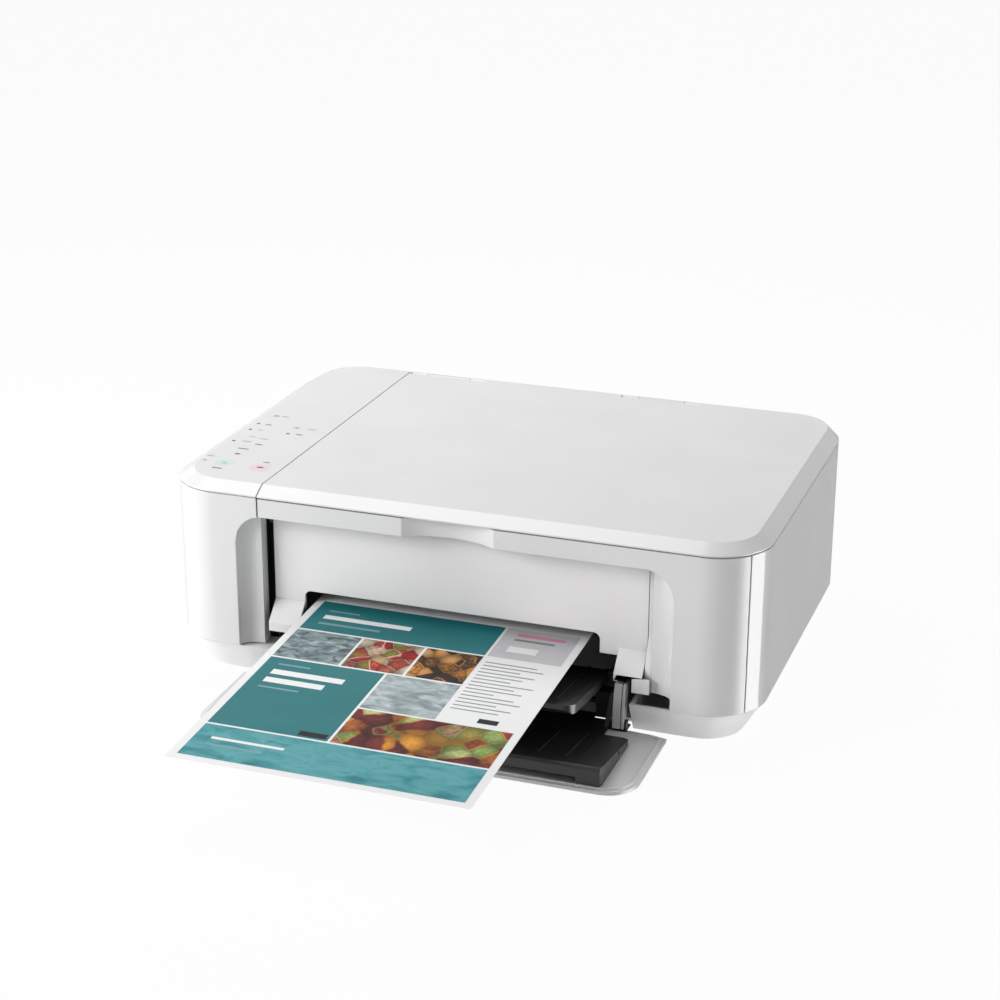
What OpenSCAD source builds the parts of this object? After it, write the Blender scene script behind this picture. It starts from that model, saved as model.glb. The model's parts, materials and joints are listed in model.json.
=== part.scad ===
// Compact inkjet all-in-one: flatbed scanner on top, front paper door and output tray below.
// Millimetres, +Z up, the front faces -Y. The origin is on the table, under the middle of the
// whole outline with the door lying open and a printed sheet in the output slot.

/* [Case] */
// Width of the closed case
case_w = 449; // [445:1:470]
// Depth of the closed case
case_d = 304; // [302:1:330]
// Height of the closed case
case_h = 152; // [151:0.5:170]
// Radius of the upright corners
corner_r = 42; // [38:1:44]
// Wall of the moulded shells
shell_t = 2.5; // [2:0.1:3]
// Gap between neighbouring shells
seam_gap = 0.9; // [0.5:0.1:1]
// Angle from the side face at which the side covers meet the front and the back
seam_angle = 40; // [30:1:50]
// Angle that the flat band takes on each side cover, next to its front seam
band_angle = 18; // [12:1:22]

/* [Base] */
// Height of the base pan
base_h = 25.5; // [25:0.5:28]
// Inset of the base pan's top edge
base_inset = 2; // [1:0.5:4]
// How far the base pan draws in towards the table at the sides
base_taper_side = 14.5; // [8:0.5:18]
// How far the base pan draws in towards the table at the front and back
base_taper_front = 13; // [11:0.5:16]
// Wall and floor of the base pan
base_t = 3; // [2.5:0.1:3.5]
// Height of the rubber feet below the pan
foot_h = 1; // [0.6:0.1:1.5]
// Radius of a rubber foot
foot_r = 9; // [6:0.5:11]

/* [Lid and panel] */
// Thickness of the document lid and control panel at the flat top
lid_t = 6.9; // [6:0.1:8]
// Width of the bevel round the top
bevel_w = 11; // [8:0.5:14]
// Height of the upright rim below the bevel
rim_h = 1; // [0.6:0.1:2]
// Gap under the document lid
lid_gap = 1; // [0.6:0.1:1.5]
// Distance of the seam between panel and lid from the left face
panel_w = 77.5; // [74:0.5:80]
// Top wall of the panel and lid
skin_t = 2.5; // [2:0.1:3]
// Length of one lid hinge
hinge_w = 66; // [50:1:70]
// Radius of the hinge barrel
hinge_r = 4.4; // [4:0.1:4.8]
// Radius of the hinge pin
hinge_pin_r = 1.5; // [1.2:0.1:1.8]
// Place of the right hinge's middle
hinge_right_x = 72; // [40:1:90]
// Distance of the left hinge's middle from the seam between panel and lid
hinge_left_in = 35; // [34.5:0.5:45]

/* [Front opening] */
// Width of the coves at both sides of the opening
arch_splay = 16.5; // [15:0.1:17.5]
// Depth of the coves at both sides of the opening
cove_d = 9.5; // [8:0.5:12]
// Height of the band over the opening
band_h = 13.8; // [12.5:0.1:14.5]
// Radius of the opening's upper corners
arch_r = 24; // [20:1:28]
// Depth of the recess in front of the output cover
recess_d = 18.5; // [18:0.1:20]
// Width of the finger scoop under the lid
scoop_w = 70; // [60:1:80]
// Depth of the finger scoop
scoop_d = 9; // [6:0.5:11]

/* [Output cover] */
// Width of the cover's right foot
foot_w = 21; // [20:0.5:22]
// Gap between the cover's sides and the recess
cover_gap = 5.5; // [5:0.1:6.5]
// Wall of the output cover
cover_t = 2.5; // [2:0.1:2.8]
// Height at which the cover's feet start to lean out
cover_kink_z = 60.3; // [58:0.1:62]
// Height of the feet's lower edge
foot_z = 45.2; // [45:0.1:47]
// How far the feet stand out from the cover
foot_out = 13.5; // [12:0.1:14]
// Upper edge of the paper slot
slot_z = 69.5; // [68:0.1:72]
// Width of the cover's left foot
foot_left_w = 24; // [22:0.5:25]
// How far the left foot reaches below the right one
foot_left_drop = 6; // [4:0.5:8]
// Room between the output tray and the right foot
foot_gap = 9; // [8.5:0.5:9.5]
// Lower edge of the fixed panel beside the right foot
panel_low = 33.5; // [33:0.5:37]
// Radius of the cover's pivot pins
cover_pin_r = 2; // [1.5:0.1:2.5]

/* [Front door] */
// Gap between the closed door's sides and the opening
door_gap = 2; // [1:0.5:3]
// Thickness of the door's panel
door_t = 2.6; // [2:0.1:3]
// Radius of the door's outer corners
door_r = 23; // [19:1:26]
// Distance of the door's pivot behind the front face
pivot_in = 20; // [19.8:0.1:21]
// Height of the door's pivot
pivot_z = 21; // [20.8:0.1:21.5]
// Radius of the door's pivot pins
door_pin_r = 3; // [2.5:0.1:3.5]
// Gap between the black tray insert and the recess, with the door closed
insert_gap_side = 8; // [7.5:0.1:11]

/* [Output tray] */
// Half width of the output tray
tray_half = 113; // [110:0.5:113]
// Thickness of the output tray
tray_t = 7; // [6:0.1:7.5]
// Slope of the output tray in degrees
tray_slope = 8; // [7:0.5:9]
// How far the tray stands out past the front face
tray_out = 58.5; // [57:0.5:59.5]
// Height of the tray's top at the output cover
tray_z = 37.5; // [36.5:0.1:38]
// How far the tray slides in as the door closes
tray_travel = 92; // [91.5:0.1:93]
// Width of the stop that pulls out of the tray
stop_w = 74; // [60:1:90]
// Travel of that stop
stop_travel = 30; // [20:1:32]

/* [Paper] */
// Width of the printed sheet
sheet_w = 210; // [200:1:212]
// Length of the printed sheet
sheet_l = 297; // [290:1:300]
// Thickness of the sheet solid
sheet_t = 0.3; // [0.2:0.1:0.4]
// Sideways place of the sheet's middle
sheet_x = -7.5; // [-11:0.5:-7]
// How far the sheet reaches out past the front face
sheet_out = 218; // [210:1:225]
// Height of the paper path at the output roller
path_z = 61; // [60.6:0.1:61.5]
// Fall of the sheet towards its outer end, in degrees
sheet_slope = 2.5; // [2:0.1:3]
// Height of the paper guides above the rack arms
guide_h = 9; // [7:0.5:10]
// Travel of each paper guide
guide_travel = 35; // [20:1:40]

/* [Print mechanism] */
// Distance of the output roller behind the front face
output_roller_in = 62; // [60:0.5:64]
// Distance of the feed roller behind the front face
feed_roller_in = 132; // [131:0.5:134]
// Radius of the output roller's tyres
output_roller_r = 6; // [5:0.1:6.5]
// Radius of the feed roller
feed_roller_r = 8; // [7:0.1:8.5]
// Radius of the roller shafts
shaft_r = 3; // [2.5:0.1:3.5]
// Radius of the star wheels
star_r = 4.5; // [4:0.1:5]
// Width of the ink carriage
carriage_w = 80; // [74:1:84]
// Depth of the ink carriage in front of its rod
carriage_d = 80; // [76:1:82]
// Room between the ink carriage and the scanner tub
carriage_gap = 12.1; // [11:0.1:16]
// Radius of the carriage rod
rod_r = 4; // [3.5:0.1:4.5]
// Pitch radius of the belt pulleys
pulley_r = 6; // [5:0.1:6.5]
// Width of the drive belt
belt_w = 6; // [5:0.5:7]
// Steel sheet of the frame plates
plate_t = 1.5; // [1:0.1:2]
// Tooth module of the gears
tooth_module = 1; // [0.95:0.05:1.05]
// Teeth of the feed roller's gear
feed_teeth = 36; // [34:1:38]
// Teeth of the idler gear
idler_teeth = 42; // [40:1:44]
// Teeth of the output roller's gear
output_teeth = 28; // [26:1:30]
// Teeth of the feed motor's pinion
motor_teeth = 18; // [18:1:20]
// Face width of the gears
gear_w = 5; // [4:0.5:6]

/* [Scanner] */
// Length of the platen glass
glass_l = 306; // [300:1:312]
// Width of the platen glass
glass_w = 222; // [216:1:226]
// Thickness of the platen glass
glass_t = 3; // [2:0.1:3]
// Depth of the scanner tub
tub_h = 24; // [23:0.5:25]
// Width of the scan bar
bar_w = 20; // [16:1:24]
// Travel of the scan bar
bar_travel = 270; // [240:1:275]

/* [Fits] */
// Radial clearance of a shaft or pin in its hole
run_fit = 0.05; // [0.03:0.01:0.08]
// Clearance between pieces that slide or stand side by side
slide_fit = 0.3; // [0.2:0.05:0.4]
// Gap round a button
button_gap = 0.2; // [0.15:0.05:0.3]

/* [Hidden] */
$fn = 96;
tiny = 0.01;
front_y = -case_d / 2;
back_y = case_d / 2;
seam_x = -case_w / 2 + panel_w;
shell_z0 = base_h + 0.5;
lid_z = case_h - lid_t;
shell_z1 = lid_z - lid_gap;
cover_y = front_y + recess_d;
arch_top = shell_z1 - band_h;
foot_right = tray_half + foot_gap;
slot_right = foot_right - 14;
cover_half = foot_right + foot_w;
slot_left = foot_left_w - cover_half;
recess_half = cover_half + cover_gap;
arch_half = recess_half + arch_splay;
door_half = arch_half - door_gap;
// Half width of the door's lower part, between the base pan's front corners
door_neck_half = foot_right + 9;
insert_half = recess_half - insert_gap_side;
hinge_left_x = seam_x + hinge_left_in;
corner_x = case_w / 2 - corner_r;
corner_y = case_d / 2 - corner_r;
far = 120;

pivot_y = front_y + pivot_in;
door_z = pivot_z - pivot_in;
door_inner_z = door_z + door_t;
door_back_y = pivot_y - (base_h - pivot_z) - 0.3;
door_front_y = pivot_y - (arch_top - pivot_z) + 1;

hinge_y = back_y - 0.5;
hinge_z = lid_z + hinge_r - 2;
rear_reach = hinge_y + hinge_r;
sheet_reach = front_y - sheet_out;
frame_y = -(rear_reach + sheet_reach) / 2;

output_roller_y = front_y + output_roller_in;
feed_roller_y = front_y + feed_roller_in;
output_roller_z = path_z - output_roller_r - slide_fit;
tub_z = shell_z1 - tub_h;
feed_roller_z = path_z - feed_roller_r - slide_fit;
star_z = path_z + sheet_t + slide_fit + star_r;

floor_z = foot_h + base_t;
plate_mid_x = tray_half + 7.5;
plate_right_x = case_w / 2 - 22.5;
plate_left_x = 40.5 - case_w / 2;
roller_left = plate_left_x - 2.5 - gear_w;
roller_right = plate_mid_x + plate_t;
paper_half = 105;

rod_y = feed_roller_y + 38;
rod_z = path_z + 16;
carriage_x = plate_right_x - carriage_w / 2 - 12;
carriage_z = path_z + 5;
carriage_h = tub_z - carriage_gap - carriage_z;
belt_y = rod_y + 14;
belt_z = carriage_z + carriage_h - 9;
belt_left = plate_left_x + 15;
belt_right = plate_right_x - 12;
beam_y = belt_y + belt_w + 4;

module home() {
    translate([0, frame_y, 0]) children();
}

// Rounded rectangle about the origin
module rounded(w, d, r) {
    square([w - 2 * r, d], center = true);
    square([w, d - 2 * r], center = true);
    for (x = [-1, 1], y = [-1, 1])
        translate([x * (w / 2 - r), y * (d / 2 - r)]) circle(r);
}

// Plan of the case, drawn in by i
module case_plan(i = 0) {
    rounded(case_w - 2 * i, case_d - 2 * i, corner_r - i);
}

module block(low, high) {
    translate(low) cube(high - low);
}

// Cylinder along X from x0 to x1
module bar_x(x0, x1, y, z, r) {
    translate([x0, y, z]) rotate([0, 90, 0]) cylinder(r = r, h = x1 - x0);
}

// Cylinder along Y from y0 to y1
module bar_y(y0, y1, x, z, r) {
    translate([x, y0, z]) rotate([-90, 0, 0]) cylinder(r = r, h = y1 - y0);
}

// Outline in Y and Z, drawn out along X
module profile_x(x0, x1, points) {
    translate([x0, 0, 0]) rotate([90, 0, 90]) linear_extrude(x1 - x0) polygon(points);
}

// ---- case shells

// Radial slots through the four corners, where the shells part
module corner_seams() {
    for (x = [-1, 1], y = [-1, 1])
        scale([x, y, 1])
            translate([corner_x, corner_y]) rotate(seam_angle)
                translate([0, -seam_gap / 2]) square([far, seam_gap]);
}

// Part of the plan that a side cover takes, on the right
module side_region() {
    reach = [far * cos(seam_angle), far * sin(seam_angle)];
    polygon([[corner_x, -corner_y], [corner_x + reach[0], -corner_y - reach[1]],
        [corner_x + reach[0], corner_y + reach[1]], [corner_x, corner_y]]);
}

module shell_wall(z0, z1) {
    translate([0, 0, z0]) linear_extrude(z1 - z0) difference() {
        case_plan(0);
        case_plan(shell_t);
        corner_seams();
    }
}

// Front strip of the shell between its two corner seams, from x0 to x1
module front_wall(x0, x1, z1) {
    intersection() {
        shell_wall(shell_z0, z1);
        difference() {
            block([x0, front_y - 1, 0], [x1, -corner_y + 20, case_h]);
            for (s = [-1, 1])
                scale([s, 1, 1]) linear_extrude(case_h) side_region();
        }
    }
}

// Outline of the front opening at depth y, upright in X and Z
module arch_face(y, half, top, r, deep = tiny) {
    translate([0, y + deep, 0]) rotate([90, 0, 0]) linear_extrude(deep) {
        translate([-half, 0]) square([2 * half, top - r]);
        translate([-half + r, 0]) square([2 * (half - r), top]);
        for (s = [-1, 1]) translate([s * (half - r), top - r]) circle(r, $fn = 64);
    }
}

// The recess behind the front opening: coves at its sides, and a straight part behind them
module arch_funnel(grow = 0) {
    hull() {
        arch_face(front_y - 1, arch_half + grow, arch_top + grow, arch_r + grow);
        for (t = [0.3, 0.55, 0.75, 0.9, 0.97, 1])
            arch_face(front_y + t * (cove_d + grow), recess_half + arch_splay * sqrt(1 - t * t) + grow,
                arch_top + grow - 0.4 * t, arch_r + (6 - arch_r) * t + grow);
    }
    hull() for (y = [cove_y + grow - 1, cover_y + 1])
        arch_face(y, recess_half + grow, arch_top + grow - 0.4, 6 + grow);
}
// Round plan of the finger scoop, grown by r_add
module scoop_plan(r_add) {
    r = (pow(scoop_w / 2, 2) + pow(scoop_d, 2)) / (2 * scoop_d);
    translate([0, front_y + scoop_d - r]) circle(r + r_add, $fn = 180);
}

module scoop(r_add = 0) {
    linear_extrude(case_h) scoop_plan(r_add);
}

module front_frame() {
    color("#eeeeee") home() difference() {
        union() {
            front_wall(seam_x + seam_gap / 2, case_w / 2, shell_z1);
            intersection() {
                difference() {
                    arch_funnel(shell_t);
                    block([-case_w, front_y - 9, -1], [case_w, front_y + shell_t / 2, case_h]);
                }
                block([seam_x + seam_gap / 2, front_y, shell_z0], [case_w / 2, cover_y, shell_z1]);
            }
            intersection() {
                scoop(shell_t);
                block([-scoop_w / 2 - 3, front_y + 1, arch_top], [scoop_w / 2 + 3, cover_y, shell_z1]);
            }
        }
        arch_funnel();
        scoop();
        block([pan_gap_half, front_y + shell_t + 0.5, 0], [arch_half + shell_t + 1, cover_y + 2, panel_low]);
    }
}

module left_column() {
    color("#ececec") home() difference() {
        union() {
            front_wall(-case_w / 2, seam_x - seam_gap / 2, lid_z - 0.5);
            intersection() {
                difference() {
                    arch_funnel(shell_t);
                    block([-case_w, front_y - 9, -1], [case_w, front_y + shell_t / 2, case_h]);
                }
                block([-case_w / 2, front_y, shell_z0], [seam_x - seam_gap / 2, cover_y, shell_z1]);
            }
        }
        arch_funnel();
    }
}

// Side cover with a flat band along its front seam
module side_cover(z1) {
    difference() {
        intersection() {
            shell_wall(shell_z0, z1);
            linear_extrude(case_h) side_region();
        }
        translate([corner_x, -corner_y]) rotate(band_angle / 2 - seam_angle)
            block([corner_r * cos(band_angle / 2), -corner_r / 2, 0], [corner_r + 1, corner_r / 2, case_h]);
    }
}

module side_cover_right() {
    color("#dddddd") home() side_cover(shell_z1);
}

module side_cover_left() {
    color("#dddddd") home() mirror([1, 0, 0]) side_cover(lid_z - 0.5);
}

inlet_x = 64.5 - case_w / 2;
inlet_z = 74;
usb_x = case_w / 2 - 54.5;
usb_z = 58;

module rear_cover() {
    color("#dddddd") home() difference() {
        intersection() {
            shell_wall(shell_z0, shell_z1);
            difference() {
                block([-case_w / 2, corner_y, 0], [case_w / 2, back_y + 1, case_h]);
                for (s = [-1, 1]) scale([s, 1, 1]) linear_extrude(case_h) side_region();
            }
        }
        for (x = [hinge_left_x, hinge_right_x])
            block([x - hinge_w / 2 - slide_fit, corner_y, hinge_z - hinge_r - slide_fit],
                [x + hinge_w / 2 + slide_fit, back_y + 1, case_h]);
        block([inlet_x - 15 - slide_fit, corner_y, inlet_z - 10 - slide_fit],
            [inlet_x + 15 + slide_fit, back_y + 1, inlet_z + 10 + slide_fit]);
        block([usb_x - 8 - slide_fit, corner_y, usb_z - 7 - slide_fit],
            [usb_x + 8 + slide_fit, back_y + 1, usb_z + 7 + slide_fit]);
    }
}

// ---- base

// The pan's outer form, drawn in by i and filled from z0 up
module pan_form(i, z0) {
    hull() {
        translate([0, 0, base_h - tiny]) linear_extrude(tiny)
            rounded(case_w - 2 * (base_inset + i), case_d - 2 * (base_inset + i), corner_r - base_inset - i,
                $fn = 64);
        translate([0, 0, z0]) linear_extrude(tiny)
            rounded(case_w - 2 * (base_inset + base_taper_side + i),
                case_d - 2 * (base_inset + base_taper_front + i), 30 - i, $fn = 64);
    }
}

foot_places = [for (x = [-1, 1], y = [-1, 1]) [x * (case_w / 2 - 64.5), y * (case_d / 2 - 52)]];
screw_places = [for (x = [-1, 1], y = [-1, 1]) [x * (case_w / 2 - 34.5), y * (case_d / 2 - 64)]];
screw_r = 1.6;
screw_head_r = 3.2;
screw_l = 12;

module base_pan() {
    color("#e4e4e4") home() {
        difference() {
            pan_form(0, foot_h);
            difference() {
                pan_form(base_t, floor_z);
                for (p = screw_places) translate([p[0], p[1], 0]) cylinder(r = 4.5, h = foot_h + screw_l);
                block([-pan_gap_half - base_t, front_y, 0],
                    [pan_gap_half + base_t, pivot_y + 5 + base_t, base_h]);
            }
            translate([0, 0, base_h - tiny / 2]) linear_extrude(1) square(2 * case_w, center = true);
            block([-pan_gap_half, front_y - 1, 0], [pan_gap_half, pivot_y + 5, base_h + 1]);
            block([-pan_gap_half, pivot_y, floor_z], [pan_gap_half, pivot_y + 10 + base_t, base_h + 1]);
            for (p = foot_places) translate([p[0], p[1], 0]) cylinder(r = foot_r, h = foot_h + 1);
            for (p = screw_places) translate([p[0], p[1], 0]) {
                cylinder(r = screw_head_r + slide_fit, h = floor_z - 1);
                cylinder(r = screw_r + run_fit, h = foot_h + screw_l + 1);
            }
        }
        translate([0, guide_y, floor_z]) cylinder(r = guide_post_r, h = guide_arm_t + 2);
        // ledge over the left front corner
        intersection() {
            pan_form(0, foot_h);
            block([-arch_half, front_y, base_h - base_t], [-pan_gap_half, pivot_y + 5, base_h]);
        }
    }
}

// Half width of the gap in the pan's front that the door and the trays pass through
pan_gap_half = door_neck_half + 4;
// Bosses on the pan that carry the door's pivot
door_boss_x0 = paper_half + 2;
door_boss_x1 = door_boss_x0 + 9.4;

module rubber_feet() {
    color("#333333") home()
        for (p = foot_places) translate([p[0], p[1], 0]) cylinder(r = foot_r, h = foot_h + 1);
}

module case_screws() {
    color("silver") home()
        for (p = screw_places) translate([p[0], p[1], floor_z - 1]) {
            translate([0, 0, -1.8]) cylinder(r = screw_head_r, h = 1.8);
            cylinder(r = screw_r, h = foot_h + screw_l - floor_z);
        }
}

// ---- recess and output cover

notch_right = foot_right + 13.5;
notch_drop = 6;
foot_y = cover_y - foot_out;
cove_y = front_y + cove_d;
cover_top = arch_top - 2;
cover_pivot_y = cover_y + 4;
// Depth of the uprights beside the cover, which carry its pivots
cheek_d = 12;
cover_pivot_z = cover_top - 3.3;

panel_fit = 0.08;
cover_side_gap = 0.35;

// The fixed panel is upright above and sweeps out smoothly to the edge of the cove
function panel_curve(steps, back) = [for (t = steps)
    [cove_y + (cover_y - cove_y) * (1 - cos(180 * t)) / 2 + back,
        foot_z + (cover_kink_z + 16 - foot_z) * t]];

// Fixed white panel beside the output cover, with the slot for the link lever's head
module recess_panel() {
    side_x = cover_half + cover_side_gap;
    color("#e6e6e6") home() difference() {
        intersection() {
            arch_face(foot_y - 1, recess_half - panel_fit, arch_top - panel_fit - 0.4, 6 - panel_fit,
                foot_out + cheek_d + 2);
            union() {
                profile_x(side_x, arch_half, concat(
                    [[cove_y, panel_low]], panel_curve([0 : 0.125 : 1], 0), [[cover_y, arch_top]],
                    [[cover_y + cover_t, arch_top]], panel_curve([1 : -0.125 : 0], cover_t),
                    [[cove_y + cover_t, panel_low]]));
                block([notch_right, foot_y, panel_low],
                    [arch_half, foot_y + cover_t, foot_z - slide_fit]);
                block([side_x, cover_y + cover_t - 0.5, panel_low],
                    [side_x + 3, cover_y + cheek_d, arch_top - 1]);
                block([side_x, foot_y + 1, panel_low], [side_x + 3, cover_y + cheek_d - 1, foot_z - 1]);
            }
        }
        bar_x(cover_half, recess_half, cover_pivot_y, cover_pivot_z, cover_pin_r + run_fit);
    }
}

// Black upright that carries the cover's left pivot, seen through the gap beside the cover
module inner_cheek() {
    color("#1c1c1c") home() difference() {
        union() {
            block([-recess_half - 3, cover_y + slide_fit, floor_z + 24],
                [-recess_half, cover_y + cheek_d, arch_top - 1]);
            block([-recess_half - 3, cover_y + 9, floor_z + 24],
                [-cover_half + 4, cover_y + cheek_d, arch_top - 8]);
            block([-cover_half - 3.6, cover_y + 1.5, cover_pivot_z - 6],
                [-cover_half - cover_side_gap, cover_y + 9, arch_top - 1]);
            block([-recess_half - 3, cover_y + 5, arch_top - 3],
                [-cover_half - cover_side_gap, cover_y + 9, arch_top - 1]);
            block([-recess_half - 3, cover_y + 9, floor_z],
                [-recess_half + 1, cover_y + cheek_d, floor_z + 24]);
        }
        bar_x(-recess_half - 4, -cover_half, cover_pivot_y, cover_pivot_z, cover_pin_r + run_fit);
    }
}

module output_cover() {
    color("#e6e6e6") home() {
        difference() {
            union() {
                block([-cover_half, cover_y, cover_kink_z - notch_drop],
                    [cover_half, cover_y + cover_t, cover_top]);
                for (foot = [[-cover_half, slot_left], [foot_right, cover_half]])
                    profile_x(foot[0], foot[1], [
                        [cover_y, cover_kink_z], [foot_y, foot_z + 1], [foot_y, foot_z],
                        [foot_y + cover_t, foot_z], [cover_y + cover_t, cover_kink_z - 1]]);
            }
            hull() {
                block([slot_left, foot_y - 1, 0], [slot_right, cover_y + 9, slot_z - 5]);
                bar_y(foot_y - 1, cover_y + 9, slot_left + 5, slot_z - 5, 5, $fn = 48);
                bar_y(foot_y - 1, cover_y + 9, slot_right - 5, slot_z - 5, 5, $fn = 48);
            }
            block([slot_right - 1, foot_y - 1, 0], [foot_right, cover_y + 9, cover_kink_z - notch_drop]);
        }
        block([-cover_half, foot_y, foot_z - foot_left_drop],
            [slot_left, foot_y + cover_t, foot_z + 1]);
        // lip at the left of the notch
        block([foot_right, foot_y, foot_z - 4.5], [foot_right + 3, foot_y + cover_t, foot_z + 1]);
        for (s = [-1, 1]) scale([s, 1, 1]) {
            block([cover_half - 3, cover_y + cover_t, cover_pivot_z - 9],
                [cover_half, cover_pivot_y, cover_top]);
            bar_x(cover_half - 3, cover_half, cover_pivot_y, cover_pivot_z, cover_pin_r + 1.2);
            bar_x(cover_half, cover_half + cover_side_gap + 3, cover_pivot_y, cover_pivot_z, cover_pin_r);
        }
    }
}

// ---- front door

ear_x = door_boss_x1 + 0.4;
ear_w = 3.4;
lever_x0 = foot_right + 1;
lever_x1 = lever_x0 + 8.4;
lever_ply = 5.8;
lever_y = pivot_y - 14;
lever_z = door_inner_z + 4.4;
lever_pin_r = 1.5;
lug_t = 1.4;

// Plan of the door lying open
module door_plan(i = 0) {
    difference() {
        union() {
            translate([-door_half + i, door_front_y + door_r])
                square([2 * (door_half - i), door_back_y - i - door_front_y - door_r]);
            translate([-door_half + door_r, door_front_y + i])
                square([2 * (door_half - door_r), door_r]);
            for (s = [-1, 1])
                translate([s * (door_half - door_r), door_front_y + door_r]) circle(door_r - i);
        }
        for (s = [-1, 1])
            polygon([[s * (door_neck_half - i), door_back_y + 1],
                [s * (door_neck_half - i), door_back_y - 8.7 - i],
                [s * (door_half - 12), door_back_y - 10 - i], [s * (door_half + 1), door_back_y - 13 - i],
                [s * (door_half + 1), door_back_y + 1]]);
    }
}

module front_door() {
    color("#e8e8e8") home() {
        translate([0, 0, door_z]) linear_extrude(door_t) door_plan();
        // raised rim inside the edge
        translate([0, 0, door_inner_z]) linear_extrude(1.2) difference() {
            door_plan(3);
            door_plan(5);
            translate([-door_half, door_back_y - 14]) square([2 * door_half, 22]);
        }
    }
}

insert_back_y = pivot_y - 32;
insert_front_y = door_front_y + 3.5;
insert_l = insert_back_y - insert_front_y + 20;
insert_low = 7;
insert_high = 18.6;
insert_gap = 4.5;

// Height of the deck at y
function insert_top(y) =
    insert_low + (insert_high - insert_low) * (insert_back_y - y) / (insert_back_y - insert_front_y);

// Black paper support on the door: an inclined deck with side walls and a front rail
// Thin back of the insert under the output tray, with the door's pivot ears and the lever's lugs
module insert_back() {
    deck_z = door_inner_z + 1.6;
    block([-paper_half - 1, insert_back_y, door_inner_z], [paper_half + 1, pivot_y + 3, deck_z]);
    block([-ear_x - ear_w, insert_back_y, door_inner_z], [ear_x + ear_w, door_back_y, deck_z]);
    block([ear_x, lever_y - 3.5, door_inner_z], [lever_x1 + 2, door_back_y, door_inner_z + 0.8]);
    for (s = [-1, 1]) scale([s, 1, 1]) {
        profile_x(ear_x, ear_x + ear_w, [
            [pivot_y - 18, door_inner_z], [door_back_y, door_inner_z],
            [pivot_y + 3.4, pivot_z - 3.4], [pivot_y - 3.4, pivot_z + 3.4]]);
        bar_x(ear_x, ear_x + ear_w, pivot_y, pivot_z, 4.8);
        bar_x(door_boss_x0 + 1, ear_x, pivot_y, pivot_z, door_pin_r);
    }
    // lugs and pin of the link lever
    for (x = [lever_x0 - lug_t - slide_fit, lever_x1 + slide_fit])
        block([x, lever_y - 3, door_inner_z], [x + lug_t, lever_y + 3, lever_z + 3]);
    bar_x(lever_x0 - 1, lever_x1 + 1, lever_y, lever_z, lever_pin_r);
}

module tray_insert() {
    base = door_inner_z + 1.5;
    color("#1e1e1e") home() insert_back();
    color("#1e1e1e") home() difference() {
        union() {
            difference() {
                intersection() {
                    profile_x(-insert_half, insert_half, [
                        [insert_back_y, door_inner_z], [insert_back_y, insert_low],
                        [insert_front_y + 8, insert_top(insert_front_y + 8)],
                        [insert_front_y + 2, insert_high], [insert_front_y, insert_high - 2],
                        [insert_front_y, base], [insert_front_y + 4, base],
                        [insert_front_y + 5, door_inner_z]]);
                    // round corners at the back
                    translate([0, insert_back_y - insert_l / 2, 0]) linear_extrude(case_h)
                        rounded(2 * insert_half, insert_l, 6);
                }
                // hollow below the deck
                profile_x(-insert_half + 2, insert_half - 2, [
                    [insert_back_y - 2, door_inner_z - 1], [insert_back_y - 2, insert_low - 2.4],
                    [insert_front_y + 6, insert_top(insert_front_y + 8) - 2.4],
                        [insert_front_y + 6, door_inner_z - 1]]);
                // sunk field for the sheets
                profile_x(-insert_half + 20, insert_half - 20, [
                    [insert_back_y + 1, insert_low - 1.4],
                        [insert_front_y + 16, insert_top(insert_front_y + 16) - 1.4],
                    [insert_front_y + 16, insert_high + 9], [insert_back_y + 1, insert_high + 9]]);
            }
            // ribs along the feed direction
            for (x = [-110 : 20 : 110])
                profile_x(x - 0.8, x + 0.8, [
                    [insert_back_y, insert_low - 2], [insert_back_y, insert_low - 0.6],
                    [insert_front_y + 16, insert_top(insert_front_y + 16) - 0.6],
                    [insert_front_y + 16, insert_top(insert_front_y + 16) - 2]]);
        }
        // finger room under the front rail, between the corner blocks
        block([-foot_right - 1, insert_front_y - 1, 0],
            [foot_right + 1, insert_front_y + 9, base + insert_gap]);
        // latch hole in the right side
        bar_x(insert_half - 3, insert_half + 1, (insert_back_y + insert_front_y) / 2 + 8, base + 4, 1.5);
    }
}

// Grey folded link beside the tray, from the door up into the notch
module link_lever() {
    top_z = foot_z - 6.7;
    color("#b4b4b4") home() difference() {
        union() {
            for (ply = [[lever_x0, lever_x0 + lever_ply], [lever_x1 - 2, lever_x1]])
                profile_x(ply[0], ply[1], [
                    [lever_y - 4, lever_z - 2.6], [lever_y + 4, lever_z - 2.6],
                        [lever_y + 5.5, lever_z + 12],
                    [pivot_y - 7, top_z - 2], [pivot_y - 9, top_z], [pivot_y - 13, top_z],
                    [pivot_y - 15, top_z - 4], [lever_y - 4, lever_z + 12]]);
            block([lever_x0, lever_y + 1, lever_z + 9], [lever_x1, lever_y + 4, top_z - 3]);
        }
        bar_x(lever_x0 - 1, lever_x1 + 1, lever_y, lever_z, lever_pin_r + run_fit);
    }
}

// ---- output tray

tray_l = (tray_out + recess_d + 16) / cos(tray_slope);
// Edge of the tray at its outer end, along the slope
tray_front = -(tray_out + recess_d) / cos(tray_slope);
stop_l = stop_travel + 20;
rail_l = tray_travel + 16;

// Along the tray's slope, with x0 at the output cover: u runs outwards, w is up from the tray's top
module on_slope() {
    translate([0, cover_y, tray_z]) rotate([-tray_slope, 0, 0]) children();
}

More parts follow.
